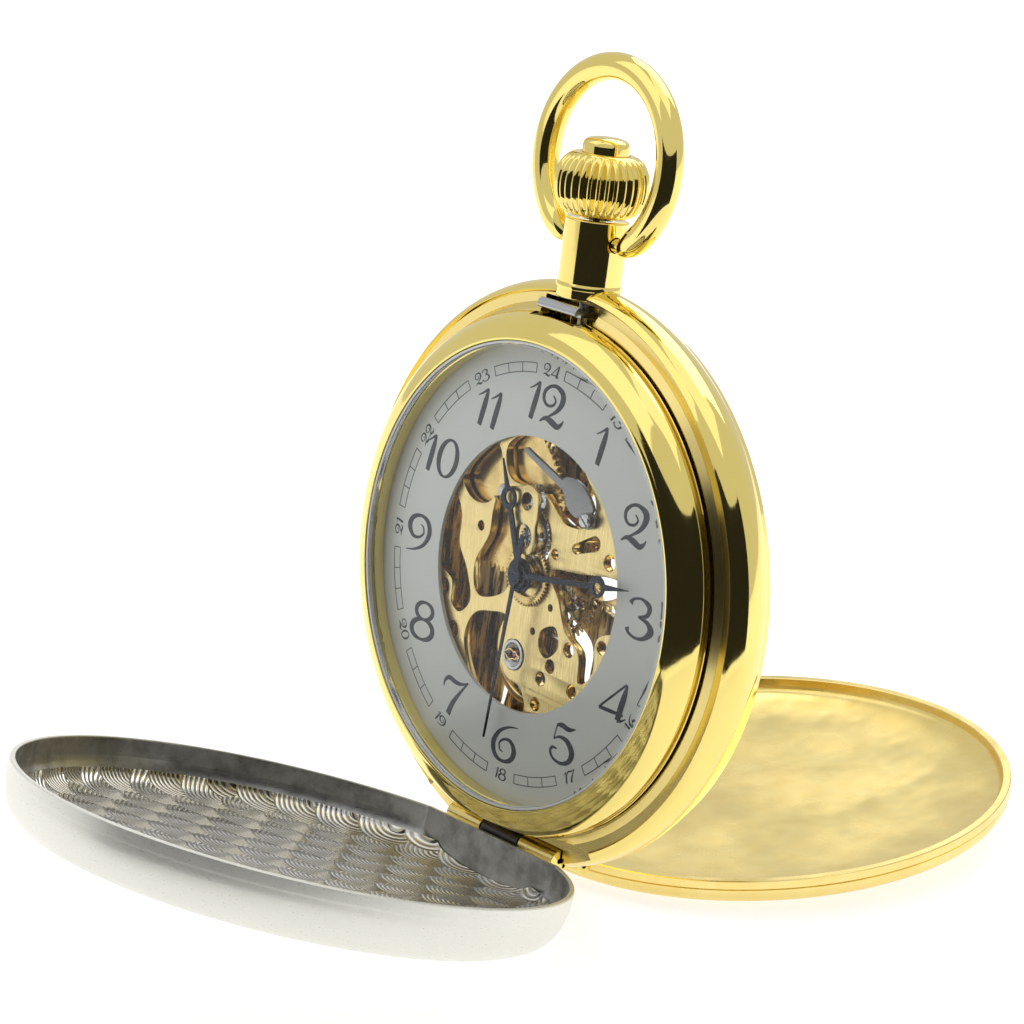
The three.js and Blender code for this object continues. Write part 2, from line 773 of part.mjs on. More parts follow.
const SETTING_SCREW_AT = [6.8, 6.3];
function settingLeverSpring() {
  const blade = link([-1.9, 10.3], [3.6, 8.3], 0.25, 0.35);
  const head = blob([[3.1, 8.9], [4.6, 9.3], [6.2, 8.6], [7.3, 7.2], [5.5, 6.2], [4.0, 6.9]], 18);
  const lug = disc(0.75, SETTING_SCREW_AT);
  const depths = [0.15, 0.45];
  const body = join(sheet(head, depths), sheet(blade, depths, 4), sheet(lug, depths, 3));
  return cut(body, rod(0.32, 0, 1, SETTING_SCREW_AT));
}
put('setting_lever_spring', settingLeverSpring(), steel());

const CROWN_WHEEL_PIN_R = 0.37;
const BARREL_SCREW_AT = [-13.2, 5.5];
function barrelBridge() {
  const shape = blob(
    [[-15.6, 8.2], [-11.5, 13.4], [-4.0, 17.0], [-2.5, 14.0], [-2.4, 11.6], [1.8, 11.6], [3.2, 9.0],
      [1.6, 5.8], [-1.2, 4.0], [-3.9, 1.6], [-5.4, -1.4], [-5.0, -5.2], [-5.4, -9.4], [-6.0, -13.8],
      [-8.4, -14.8], [-11.4, -13.0], [-12.6, -10.2], [-15.6, -7.2], [-16.9, -1.6]],
    40,
  );
  return cut(
    sheet(shape, BARREL_BRIDGE_Y),
    rod(BARREL_ARBOR_R + PIVOT_GAP, ...THROUGH, BARREL_AT),
    rod(CROWN_WHEEL_PIN_R + PIVOT_GAP, ...THROUGH, CROWN_WHEEL_AT),
    rod(1.4, ...THROUGH, [-9.8, 10.4], 14),
    rod(SCREW_HOLE_R, ...THROUGH, BARREL_SCREW_AT),
  );
}
put('barrel_bridge', barrelBridge(), brass());

const TRAIN_SCREWS_AT = [
  [14.4, 3.6],
  [13.2, -4.2],
];
const TRAIN_BRIDGE_POINTS = [
  [-1.3, 1.2], [1.2, 2.2], [3.9, 5.6], [6.4, 6.0], [8.6, 5.2], [16.2, 5.4], [17.0, 0.5], [16.2, -5.2],
  [13.4, -8.6], [8.4, -11.4], [5.3, -9.2], [5.2, -5.6], [4.0, -4.2], [2.0, -3.4], [0, -1.8], [-1.4, -0.6],
];
const TRAIN_BRIDGE_WINDOW = [
  [4.2, 2.3], [7.6, 2.6], [11.4, 2.2], [11.6, -1.6], [8.0, -2.2], [5.0, -1.0],
];
function trainBridge() {
  const bridge = sheet(blob(TRAIN_BRIDGE_POINTS, 36), TRAIN_BRIDGE_Y);
  const bearings = [CENTRE, THIRD_AT, ESCAPE_AT].map((at) => rod(ARBOR_R + PIVOT_GAP, ...THROUGH, at));
  const screwHoles = TRAIN_SCREWS_AT.map((at) => rod(SCREW_HOLE_R, ...THROUGH, at));
  return cut(bridge, ...bearings, ...screwHoles, sheet(blob(TRAIN_BRIDGE_WINDOW, 16), THROUGH));
}
put('train_bridge', trainBridge(), brass());

const COCK_SCREW_AT = [0.2, -14.2];
function balanceCock() {
  const shape = blob(
    [[-2.2, -6.0], [-0.6, -5.5], [0.8, -6.4], [3.2, -8.6], [5.0, -11.6], [5.0, -15.4], [0.4, -17.0],
      [-5.2, -15.6], [-5.0, -11.8], [-3.8, -8.6]],
    28,
  );
  const cock = sheet(shape, TRAIN_BRIDGE_Y);
  const bearing = rod(ARBOR_R + PIVOT_GAP, ...THROUGH, BALANCE_AT);
  return cut(cock, bearing, rod(SCREW_HOLE_R, ...THROUGH, COCK_SCREW_AT));
}
put('balance_cock', balanceCock(), brass());

function palletBridge() {
  const shape = blob(
    [[0.4, -4.2], [1.3, -3.9], [2.2, -4.5], [5.6, -8.2], [4.8, -9.4], [3.6, -8.8], [1.0, -5.5]],
    18,
  );
  return cut(sheet(shape, [2.02, 2.2]), rod(ARBOR_R + PIVOT_GAP, 1, 3, PALLET_AT));
}
put('pallet_bridge', palletBridge(), brass());

// Screws: name, place, head depth, tail depth.
const screws = [
  ['barrel_bridge_screw', BARREL_SCREW_AT, 4.6, 1.5],
  ['train_bridge_screw_1', TRAIN_SCREWS_AT[0], 5.05, 1.5],
  ['train_bridge_screw_2', TRAIN_SCREWS_AT[1], 5.05, 1.5],
  ['balance_cock_screw', COCK_SCREW_AT, 5.05, 1.5],
  ['setting_spring_screw', SETTING_SCREW_AT, -0.3, 0.5],
];
for (const [name, at, headY, tailY] of screws) {
  const options = headY < 0 ? { headR: 0.62, headH: 0.35 } : {};
  put(name, screw(at, headY, tailY, options), steel());
}
// The case screws' heads bear on the movement ring.
for (const [i, side] of [-1, 1].entries()) {
  const at = [side * 13.7, -11.25];
  put(`case_screw_${i + 1}`, screw(at, 5.05, 1.5, { headR: 1.0, headH: 0.4 }), steel());
}

// ---- Going train --------------------------------------------------------------------------------
function meshed(at, other, teeth, otherTeeth) {
  const distance = apart(at, other);
  const [own, mate] = pitchRadii(distance, teeth, otherTeeth);
  return { own, mate, towards: bearing(at, other) };
}

// The barrel drives the centre pinion.
const barrelMesh = meshed(BARREL_AT, CENTRE, TEETH.barrel, TEETH.centrePinion);
const BARREL = { r: 6.15, wall: 0.3, back: 2.9 };
function barrel() {
  const gear = plainGear(TEETH.barrel, barrelMesh.own, barrelMesh.towards, BARREL_AT, [1.6, 1.95]);
  const drum = washer(BARREL.r - BARREL.wall, BARREL.r, 1.8, BARREL.back, BARREL_AT, 24);
  return cut(join(gear, drum), rod(BARREL_ARBOR_R + PIVOT_GAP, 1, 3, BARREL_AT));
}
put('barrel', barrel(), brass());
put('barrel_cover', washer(1.0, 5.7, 2.62, 2.85, BARREL_AT, 24), brass());
put('barrel_arbor', rod(BARREL_ARBOR_R, 1.0, 4.2, BARREL_AT), steel());

function coil([x, z], [r0, r1], turns, halfWidth, depths, perTurn) {
  const steps = Math.round(turns * perTurn);
  const at = (i, side) => {
    const t = i / steps;
    const r = r0 + (r1 - r0) * t + side * halfWidth;
    const angle = 2 * Math.PI * turns * t;
    return new THREE.Vector2(x + r * Math.cos(angle), z + r * Math.sin(angle));
  };
  const outward = Array.from({ length: steps + 1 }, (_, i) => at(i, 1));
  const back = Array.from({ length: steps + 1 }, (_, i) => at(steps - i, -1));
  return sheet(new THREE.Shape([...outward, ...back]), depths);
}
put('mainspring', coil(BARREL_AT, [1.5, 5.3], 4, 0.12, [2.05, 2.5], 12), steel());

// Centre wheel, its pinion, the hollow arbor and the cannon pinion turn as one with the minute hand.
const thirdMesh = meshed(CENTRE, THIRD_AT, TEETH.centre, TEETH.thirdPinion);
const minuteMesh = meshed(CENTRE, MINUTE_WHEEL_AT, TEETH.cannon, TEETH.minute);
const TUBE_BORE = 0.33;
function centreWheel() {
  const wheel = spokedGear(TEETH.centre, thirdMesh.own, thirdMesh.towards, CENTRE, [3.0, 3.15]);
  const pinionAngle = gapAt(barrelMesh.towards + Math.PI, TEETH.centrePinion);
  const pinion = plainGear(TEETH.centrePinion, barrelMesh.mate, pinionAngle, CENTRE, [1.55, 2.1]);
  const cannonAngle = minuteMesh.towards;
  const cannon = plainGear(TEETH.cannon, minuteMesh.own, cannonAngle, CENTRE, [0.6, 0.9]);
  const arbor = rod(0.62, -0.85, 3.3);
  return cut(join(arbor, wheel, pinion, cannon), rod(TUBE_BORE, -2, 5));
}
put('centre_wheel', centreWheel(), brass());

const fourthMesh = meshed(THIRD_AT, CENTRE, TEETH.third, TEETH.fourthPinion);
function thirdWheel() {
  const wheel = spokedGear(TEETH.third, fourthMesh.own, fourthMesh.towards, THIRD_AT, [3.35, 3.5]);
  const pinionAngle = gapAt(thirdMesh.towards + Math.PI, TEETH.thirdPinion);
  const pinion = plainGear(TEETH.thirdPinion, thirdMesh.mate, pinionAngle, THIRD_AT, [2.9, 3.3]);
  return join(rod(ARBOR_R, 1.5, 4.55, THIRD_AT), wheel, pinion);
}
put('third_wheel', thirdWheel(), brass());

// The fourth wheel's arbor runs through the hollow centre arbor and carries the seconds hand.
const escapeMesh = meshed(CENTRE, ESCAPE_AT, TEETH.fourth, TEETH.escapePinion);
function fourthWheel() {
  const wheel = spokedGear(TEETH.fourth, escapeMesh.own, escapeMesh.towards, CENTRE, [3.65, 3.8]);
  const pinionAngle = gapAt(fourthMesh.towards + Math.PI, TEETH.fourthPinion);
  const pinion = plainGear(TEETH.fourthPinion, fourthMesh.mate, pinionAngle, CENTRE, [3.34, 3.62]);
  return join(rod(ARBOR_R, -1.05, 4.55), wheel, pinion);
}
put('fourth_wheel', fourthWheel(), brass());

// Club teeth, all leaning one way.
const ESCAPE_TIP_R = 2.3;
function escapeWheel() {
  const points = [];
  for (let i = 0; i < TEETH.escape; i++) {
    for (const [r, turn] of [
      [1.75, 0],
      [ESCAPE_TIP_R, 0.5],
      [ESCAPE_TIP_R, 0.72],
      [1.75, 0.62],
    ]) {
      const angle = (2 * Math.PI * (i + turn)) / TEETH.escape;
      points.push(
        new THREE.Vector2(ESCAPE_AT[0] + r * Math.cos(angle), ESCAPE_AT[1] + r * Math.sin(angle)),
      );
    }
  }
  const shape = new THREE.Shape(points);
  for (let i = 0; i < 4; i++) {
    const from = (Math.PI / 2) * i;
    const hole = new THREE.Path();
    hole.absarc(...ESCAPE_AT, 1.45, from + 0.12, from + Math.PI / 2 - 0.12, false);
    hole.absarc(...ESCAPE_AT, 0.6, from + Math.PI / 2 - 0.3, from + 0.3, true);
    shape.holes.push(hole);
  }
  const pinionAngle = gapAt(escapeMesh.towards + Math.PI, TEETH.escapePinion);
  const pinion = plainGear(TEETH.escapePinion, escapeMesh.mate, pinionAngle, ESCAPE_AT, [3.55, 3.9]);
  return join(sheet(shape, [1.7, 1.88], 3), rod(0.2, 1.0, 4.55, ESCAPE_AT), pinion);
}
put('escape_wheel', escapeWheel(), steel());

// The fork points at the balance; its stones stand just clear of the escape wheel's tips.
const forkTowards = bearing(PALLET_AT, BALANCE_AT);
const PALLET_CLEAR = 0.2;
function palletFork() {
  const along = (r, turn) => [
    PALLET_AT[0] + r * Math.cos(forkTowards + turn),
    PALLET_AT[1] + r * Math.sin(forkTowards + turn),
  ];
  const toWheel = bearing(ESCAPE_AT, PALLET_AT);
  const stone = (turn) => {
    const r = ESCAPE_TIP_R + PALLET_CLEAR + 0.22;
    return [ESCAPE_AT[0] + r * Math.cos(toWheel + turn), ESCAPE_AT[1] + r * Math.sin(toWheel + turn)];
  };
  const depths = [1.72, 1.88];
  const arms = [0.66, -0.66].map((turn) => sheet(link(PALLET_AT, stone(turn), 0.3, 0.2), depths, 4));
  const lever = sheet(link(PALLET_AT, along(2.2, 0), 0.28, 0.2), depths, 4);
  const horn = (turn) => sheet(link(along(2.1, 0), along(2.7, turn), 0.16, 0.1), depths, 4);
  return join(rod(ARBOR_R - 0.03, 1.0, 2.19, PALLET_AT), ...arms, lever, horn(0.13), horn(-0.13));
}
put('pallet_fork', palletFork(), steel());

// Balance: rim, two arms, staff and roller.
const BALANCE_R = 4.4;
function balanceWheel() {
  const rim = washer(BALANCE_R - 0.55, BALANCE_R, 2.3, 2.7, BALANCE_AT, 28);
  const arm = new THREE.BoxGeometry(2 * BALANCE_R - 0.6, 0.25, 0.6);
  arm.rotateY(rad(-35));
  arm.translate(BALANCE_AT[0], 2.5, BALANCE_AT[1]);
  const staff = rod(0.25, 1.25, 4.55, BALANCE_AT);
  const roller = rod(0.55, 2.24, 2.9, BALANCE_AT);
  return join(rim, solid(arm), staff, roller);
}
put('balance_wheel', balanceWheel(), satinGold());
put('hairspring', coil(BALANCE_AT, [0.5, 2.0], 3.5, 0.06, [3.3, 3.5], 12), darkSteel());

// ---- Motion work and hands ----------------------------------------------------------------------
const hourMesh = meshed(MINUTE_WHEEL_AT, CENTRE, TEETH.minutePinion, TEETH.hour);
function minuteWheel() {
  const wheelAngle = gapAt(minuteMesh.towards + Math.PI, TEETH.minute);
  const wheel = plainGear(TEETH.minute, minuteMesh.mate, wheelAngle, MINUTE_WHEEL_AT, [0.65, 0.85]);
  const pinion = plainGear(TEETH.minutePinion, hourMesh.own, hourMesh.towards, MINUTE_WHEEL_AT, [0.2, 0.5]);
  return join(wheel, pinion, rod(ARBOR_R, -0.1, 1.4, MINUTE_WHEEL_AT));
}
put('minute_wheel', minuteWheel(), steel());

function hourWheel() {
  const wheelAngle = gapAt(hourMesh.towards + Math.PI, TEETH.hour);
  const wheel = plainGear(TEETH.hour, hourMesh.mate, wheelAngle, CENTRE, [0.25, 0.45]);
  const pipe = rod(1.0, -0.6, 0.4);
  return cut(join(wheel, pipe), rod(0.7, -2, 2));
}
put('hour_wheel', hourWheel(), steel());

function settingWheel() {
  const wheel = plainGear(TEETH.setting, 1.3, 0, SETTING_WHEEL_AT, [0.95, 1.15]);
  return join(wheel, rod(ARBOR_R, 0.3, 1.35, SETTING_WHEEL_AT));
}
put('setting_wheel', settingWheel(), steel());

// A hand with a pierced ring near its tip, drawn pointing at 12 and turned to its place.
function ringHand({ hubR, boreR, stemW, ringAt, ringR, ringHole, tip, tail }, depths, degrees) {
  const blade = new THREE.Shape();
  blade.moveTo(-stemW, -tail);
  blade.lineTo(stemW, -tail);
  blade.lineTo(stemW * 0.8, ringAt - ringR * 0.8);
  blade.lineTo(-stemW * 0.8, ringAt - ringR * 0.8);
  const point = new THREE.Shape();
  point.moveTo(-0.32, ringAt + ringR * 0.85);
  point.lineTo(0.32, ringAt + ringR * 0.85);
  point.lineTo(0.05, tip);
  point.lineTo(-0.05, tip);
  let hand = join(
    sheet(blade, depths),
    sheet(point, depths),
    sheet(disc(ringR, [0, ringAt]), depths, 4),
    rod(hubR, ...depths, CENTRE, 16),
  );
  hand = cut(hand, rod(ringHole, -4, 4, [0.12, ringAt]), rod(boreR, -4, 4));
  return turnedTo(hand, degrees);
}

function turnedTo(body, degrees) {
  const geometry = geometryOf(body);
  geometry.rotateY(rad(degrees));
  return solid(geometry);
}

put(
  'hour_hand',
  ringHand(
    { hubR: 1.5, boreR: 1.05, stemW: 0.34, ringAt: 6.6, ringR: 0.95, ringHole: 0.5, tip: 10.0, tail: 1 },
    [-0.6, -0.42],
    HOUR_HAND_DEG,
  ),
  darkSteel(),
);
put(
  'minute_hand',
  ringHand(
    { hubR: 1.15, boreR: 0.66, stemW: 0.28, ringAt: 10.2, ringR: 0.9, ringHole: 0.45, tip: 14.0, tail: 1 },
    [-0.85, -0.68],
    MINUTE_HAND_DEG,
  ),
  darkSteel(),
);

function secondsHand() {
  const blade = new THREE.Shape();
  blade.moveTo(-0.28, -3.6);
  blade.lineTo(0.28, -3.6);
  blade.lineTo(0.12, 14.6);
  blade.lineTo(-0.12, 14.6);
  const hand = join(sheet(blade, [-1.08, -0.96]), rod(0.75, -1.12, -0.92, CENTRE, 14));
  return turnedTo(cut(hand, rod(0.28, -4, 4)), SECONDS_HAND_DEG);
}
put('seconds_hand', secondsHand(), darkSteel());

// ---- Winding work -------------------------------------------------------------------------------
const ratchetMesh = meshed(CROWN_WHEEL_AT, BARREL_AT, TEETH.crownWheel, TEETH.ratchet);

function crownWheel() {
  const { own, towards } = ratchetMesh;
  const wheel = plainGear(TEETH.crownWheel, own, towards, CROWN_WHEEL_AT, RATCHET_Y);
  return join(wheel, rod(CROWN_WHEEL_PIN_R, 3.65, 4.3, CROWN_WHEEL_AT));
}
put('crown_wheel', crownWheel(), steel());

function ratchetWheel() {
  const wheelAngle = gapAt(ratchetMesh.towards + Math.PI, TEETH.ratchet);
  const wheel = plainGear(TEETH.ratchet, ratchetMesh.mate, wheelAngle, BARREL_AT, RATCHET_Y);
  return cut(wheel, rod(0.42, 4, 5, BARREL_AT));
}
put('ratchet_wheel', ratchetWheel(), steel());
put('ratchet_screw', screw(BARREL_AT, 5.1, 4.27, { headR: 0.75, headH: 0.4 }), steel());

// The winding pinion turns on the stem; its leaves reach up between the crown wheel's teeth.
const WINDING_PINION_Z = [12.15, 13.2];
function windingPinion() {
  const crownPitch = (2 * Math.PI) / TEETH.crownWheel;
  const offset = (Math.PI / 2 - ratchetMesh.towards) / crownPitch;
  const phase = offset - Math.round(offset); // how far the nearest tooth stands off the top
  const leafPitch = (2 * Math.PI) / TEETH.windingPinion;
  const pitchR = (ratchetMesh.own * TEETH.windingPinion) / TEETH.crownWheel;
  const points = [];
  for (let i = 0; i < TEETH.windingPinion; i++) {
    for (const [r, turn] of [
      [pitchR - 0.05, 0.44],
      [pitchR - 0.05, 0.56],
      [pitchR - 0.3, 0.74],
      [pitchR - 0.3, 1.26],
    ]) {
      const angle = Math.PI / 2 + (i + turn - phase) * leafPitch;
      points.push(new THREE.Vector2(r * Math.cos(angle), r * Math.sin(angle)));
    }
  }
  const geometry = new THREE.ExtrudeGeometry(new THREE.Shape(points), {
    depth: WINDING_PINION_Z[1] - WINDING_PINION_Z[0],
    bevelEnabled: false,
  });
  geometry.translate(0, STEM_Y, WINDING_PINION_Z[0]);
  const bore = upright(
    [
      [0, 10],
      [STEM_R + PIVOT_GAP, 10],
      [STEM_R + PIVOT_GAP, 15],
      [0, 15],
    ],
    ROUND_SIDES,
  );
  return cut(solid(geometry), bore);
}
put('winding_pinion', windingPinion(), steel());

// The click holds the ratchet wheel.
const CLICK_AT = [-10.6, 8.4];
function click() {
  const angle = bearing(CLICK_AT, BARREL_AT) - 0.5;
  const reach = 1.95;
  const tip = [CLICK_AT[0] + reach * Math.cos(angle), CLICK_AT[1] + reach * Math.sin(angle)];
  return join(sheet(link(CLICK_AT, tip, 0.65, 0.22), [4.25, 4.55], 5), rod(0.3, 4.2, 4.7, CLICK_AT));
}
put('click', click(), steel());

// ---- Stand the open watch on the ground ---------------------------------------------------------
const pocketWatch = new THREE.Group();
pocketWatch.add(watch);
pocketWatch.updateMatrixWorld(true);
const bounds = new THREE.Box3().setFromObject(pocketWatch, true);
watch.position.set(0, -(bounds.min.y + bounds.max.y) / 2, -bounds.min.z);

export default pocketWatch;
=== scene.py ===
# The looks of a full-hunter skeleton pocket watch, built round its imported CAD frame. Blender 4.5.
# Shapes are written in millimetres in the watch's own frame: x to 3 o'clock, y through the case from
# front to back, z to 12 o'clock, from the centre of the dial. WATCH turns that into the row frame.
import json
import math
from collections import namedtuple

import bmesh
import bpy
from mathutils import Matrix, Vector


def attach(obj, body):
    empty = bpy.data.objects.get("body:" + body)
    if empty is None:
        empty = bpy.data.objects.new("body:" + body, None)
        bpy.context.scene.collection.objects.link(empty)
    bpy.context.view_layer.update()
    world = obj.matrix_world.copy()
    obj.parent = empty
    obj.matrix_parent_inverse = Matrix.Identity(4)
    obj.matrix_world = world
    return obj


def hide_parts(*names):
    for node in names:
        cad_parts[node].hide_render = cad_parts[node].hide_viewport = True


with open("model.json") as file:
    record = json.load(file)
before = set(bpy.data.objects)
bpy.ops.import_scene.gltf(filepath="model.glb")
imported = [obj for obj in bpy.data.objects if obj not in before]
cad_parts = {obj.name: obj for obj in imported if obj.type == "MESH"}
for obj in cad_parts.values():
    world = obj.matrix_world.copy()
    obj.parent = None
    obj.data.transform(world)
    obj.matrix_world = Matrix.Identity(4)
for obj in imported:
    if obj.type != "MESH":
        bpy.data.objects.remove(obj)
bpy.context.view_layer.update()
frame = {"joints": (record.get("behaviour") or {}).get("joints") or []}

joints = {joint["name"]: joint for joint in frame["joints"]}
TURN = 2 * math.pi
MM = 0.001


# ---- Frames ----
def watch_frame():
    """Millimetres in the watch's frame to metres in the row frame."""
    arbor = joints["seconds_hand_turn"]
    lean = math.asin(-arbor["axis"][2])
    place = Matrix.Translation(arbor["pos_m"]) @ Matrix.Rotation(-lean, 4, "X")
    return place @ Matrix.Scale(MM, 4)


def swung_open(joint_name):
    """The watch's frame for a cover drawn closed: swung from closed to its stop, where it rests."""
    hinge = joints[joint_name]
    pivot = Matrix.Translation(hinge["pos_m"])
    swing = Matrix.Rotation(-math.radians(hinge["range_deg"][1]), 4, Vector(hinge["axis"]))
    return pivot @ swing @ pivot.inverted() @ WATCH


def arbor_of(joint_name):
    """x and z of a joint's axis in the watch's frame, in millimetres."""
    at = WATCH.inverted() @ Vector(joints[joint_name]["pos_m"])
    return at.x, at.z


WATCH = watch_frame()
FRONT_COVER = swung_open("front_cover_hinge")
REAR_COVER = swung_open("rear_cover_hinge")

# ---- Dimensions, in millimetres ----
CASE_BORE_R = 20.35
LEDGE_Y = 1.08  # the ledge that the front cover closes on
LEDGE_DIP = 0.05  # clearance under the closed cover
REAR_LEDGE_Y = 5.5
BEZEL_R = 22.2
REHAUT_R = 19.3  # the bezel's inner wall, down to the dial
CRYSTAL_R = 19.4
DIAL_R = 19.85
DIAL_FACE_Y = 0.02
APERTURE_R = 11.68
COVER_R = 23.6
REAR_COVER_R = 23.5
STEM_Y = 2.7  # depth of the winding stem's axis
CHORD_Z = -21.9  # the front cover is straight here, beside its hinge
CHORD_WALL = 0.45
BEZEL_FLAT_Z = CHORD_Z + CHORD_WALL + 0.15
FRONT_HINGE = {"y": 1.17, "z": -23.18, "r": 0.95, "half": 7.2, "middle": 2.45}
REAR_HINGE = {"y": 5.14, "z": -24.4, "r": 0.8, "half": 6.0, "middle": 1.95}
KNUCKLE_GAP = 0.15
NECK_R = 2.7
NECK_BORE_R = 1.3
NECK_Z = (23.6, 30.3)
BOW_R = 7.75
BOW_WIRE_R = 1.18
BOW_Z = 35.14
BOW_PIVOT_Z = 28.5
BOW_TILT_DEG = 1.8
CROWN_FLUTES = 32
ROUND = 160  # sides of the case's rings
SMOOTH = 40  # sides of small round pieces
AXIS_R = 1e-6  # a profile point nearer the axis than this is on it
BLUNT_HALF_ANGLE = math.radians(80)  # a corner blunter than this stays as it is


# ---- Shapes, as bmesh in millimetres ----
def moved(bm, matrix):
    bmesh.ops.transform(bm, matrix=matrix, verts=bm.verts)
    return bm


def polar(origin, angle, r):
    return origin[0] + r * math.cos(angle), origin[1] + r * math.sin(angle)


def arc_points(centre, r, start_deg, end_deg, steps):
    """Points on an arc, from start to end."""
    turn = end_deg - start_deg
    return [polar(centre, math.radians(start_deg + turn * i / steps), r) for i in range(steps + 1)]


def circle(r, at=(0, 0), steps=SMOOTH):
    return arc_points(at, r, 0, 360 * (1 - 1 / steps), steps - 1)


def link(start, end, r0, r1, steps=8):
    """Outline of a bar with round ends between two points."""
    angle = math.degrees(math.atan2(end[1] - start[1], end[0] - start[0]))
    return [*arc_points(start, r0, angle + 90, angle + 270, steps),
            *arc_points(end, r1, angle - 90, angle + 90, steps)]


def flowing(points, steps=8, closed=False):
    """A smooth line through given points (Catmull-Rom)."""
    count = len(points)

    def point(i):
        return Vector(points[i % count] if closed else points[min(max(i, 0), count - 1)])

    out = []
    for i in range(count if closed else count - 1):
        before, start, end, after = (point(i + k) for k in (-1, 0, 1, 2))
        ahead = end - before
        pull = 2 * before - 5 * start + 4 * end - after
        bend = 3 * start - before - 3 * end + after
        for k in range(steps):
            t = k / steps
            out.append(0.5 * (2 * start + ahead * t + pull * t * t + bend * t**3))
    if not closed:
        out.append(point(count - 1))
    return [tuple(p) for p in out]


def loop(points):
    return flowing(points, 6, closed=True)


def rounded(profile, radius, steps=3):
    """Rounds the sharp corners of a closed outline, apart from those on the axis."""
    out = []
    for i, corner in enumerate(profile):
        at = Vector(corner)
        before = Vector(profile[i - 1]) - at
        after = Vector(profile[(i + 1) % len(profile)]) - at
        half = before.angle(after) / 2
        if corner[0] < AXIS_R or half > BLUNT_HALF_ANGLE:
            out.append(tuple(at))
            continue
        reach = min(radius / math.tan(half), 0.4 * before.length, 0.4 * after.length)
        start = at + before.normalized() * reach
        end = at + after.normalized() * reach
        for k in range(steps + 1):
            t = k / steps
            out.append(tuple(start * (1 - t) ** 2 + at * (2 * t * (1 - t)) + end * t**2))
    return out


def ring_profile(inner, outer, span, edge, steps=3):
    """Section of a plain ring, or of a rod when inner is 0."""
    low, high = span
    return rounded([(inner, low), (outer, low), (outer, high), (inner, high)], edge, steps)


def turned(profile, sides=SMOOTH, at=(0, 0), reshape=None):
    """Turns a closed (radius, y) profile about the y direction through (x, z)."""
    bm = bmesh.new()
    rings = []
    for r, y in profile:
        if r < AXIS_R:
            rings.append([bm.verts.new((at[0], y, at[1]))])
            continue
        ring = []
        for i in range(sides):
            angle = TURN * i / sides
            out = reshape(angle, r) if reshape else r
            ring.append(bm.verts.new((at[0] + out * math.sin(angle), y, at[1] + out * math.cos(angle))))
        rings.append(ring)
    for a, b in zip(rings, rings[1:] + rings[:1]):
        for i in range(sides):
            j = (i + 1) % sides
            face = [a[i % len(a)], a[j % len(a)], b[j % len(b)], b[i % len(b)]]
            face = list(dict.fromkeys(face))
            if len(face) > 2:
                bm.faces.new(face)
    return bm


def upright(profile, sides=SMOOTH, reshape=None):
    """Turns a closed (radius, z) profile about the winding stem's axis."""
    stand = Matrix.Translation((0, STEM_Y, 0)) @ Matrix.Rotation(math.pi / 2, 4, "X")
    return moved(turned(profile, sides, reshape=reshape), stand)


def washer(inner, outer, depths, at=(0, 0), sides=SMOOTH, edge=0.04):
    return turned(ring_profile(inner, outer, depths, edge, 2), sides, at)


def rod(r, depths, at=(0, 0), sides=24, edge=0.04):
    """A round pin through the depths, with softened ends."""
    return washer(0, r, depths, at, sides, edge)


def bar(r, x_span, y, z, edge=0.08):
    """A round bar along x with softened ends."""
    lay = Matrix.Translation((0, y, z)) @ Matrix.Rotation(-math.pi / 2, 4, "Z")
    return moved(turned(ring_profile(0, r, x_span, edge)), lay)


def block(x_span, y_span, z_span, edge=0.08):
    """A box with rounded edges."""
    bm = bmesh.new()
    bmesh.ops.create_cube(bm, size=1)
    spans = (x_span, y_span, z_span)
    size = Matrix.Diagonal((*(b - a for a, b in spans), 1))
    moved(bm, Matrix.Translation([(a + b) / 2 for a, b in spans]) @ size)
    if edge:
        bmesh.ops.bevel(bm, geom=bm.edges[:], offset=edge, segments=3, profile=0.5, affect="EDGES")
    return bm


def flat(outlines, depths, edge=0.03, edge_steps=2):
    """A flat piece sawn from sheet: outlines in x and z, inner ones being holes, with bevelled edges."""
    curve = bpy.data.curves.new("sheet", "CURVE")
    curve.dimensions = "2D"
    curve.fill_mode = "BOTH"
    for outline in outlines:
        spline = curve.splines.new("POLY")
        spline.points.add(len(outline) - 1)
        for point, (x, z) in zip(spline.points, outline):
            point.co = (x, z, 0, 1)
        spline.use_cyclic_u = True
    y0, y1 = depths
    curve.extrude = (y1 - y0) / 2 - edge
    curve.bevel_depth = edge
    curve.bevel_resolution = edge_steps
    curve.offset = -edge
    holder = bpy.data.objects.new("sheet", curve)
    bm = bmesh.new()
    bm.from_mesh(holder.to_mesh())
    holder.to_mesh_clear()
    bpy.data.objects.remove(holder)
    bpy.data.curves.remove(curve)
    bmesh.ops.remove_doubles(bm, verts=bm.verts, dist=1e-4)
    return moved(bm, Matrix.Translation((0, (y0 + y1) / 2, 0)) @ Matrix.Rotation(math.pi / 2, 4, "X"))


def stitched(bm, rings, closed=False):
    """Walls between neighbouring rings of vertices, and caps on the ends of an open run."""
    for a, b in zip(rings, rings[1:] + rings[:1] if closed else rings[1:]):
        for k in range(len(a)):
            j = (k + 1) % len(a)
            bm.faces.new((a[k], a[j], b[j], b[k]))
    if not closed:
        bm.faces.new(rings[0])
        bm.faces.new(rings[-1][::-1])
    return bm


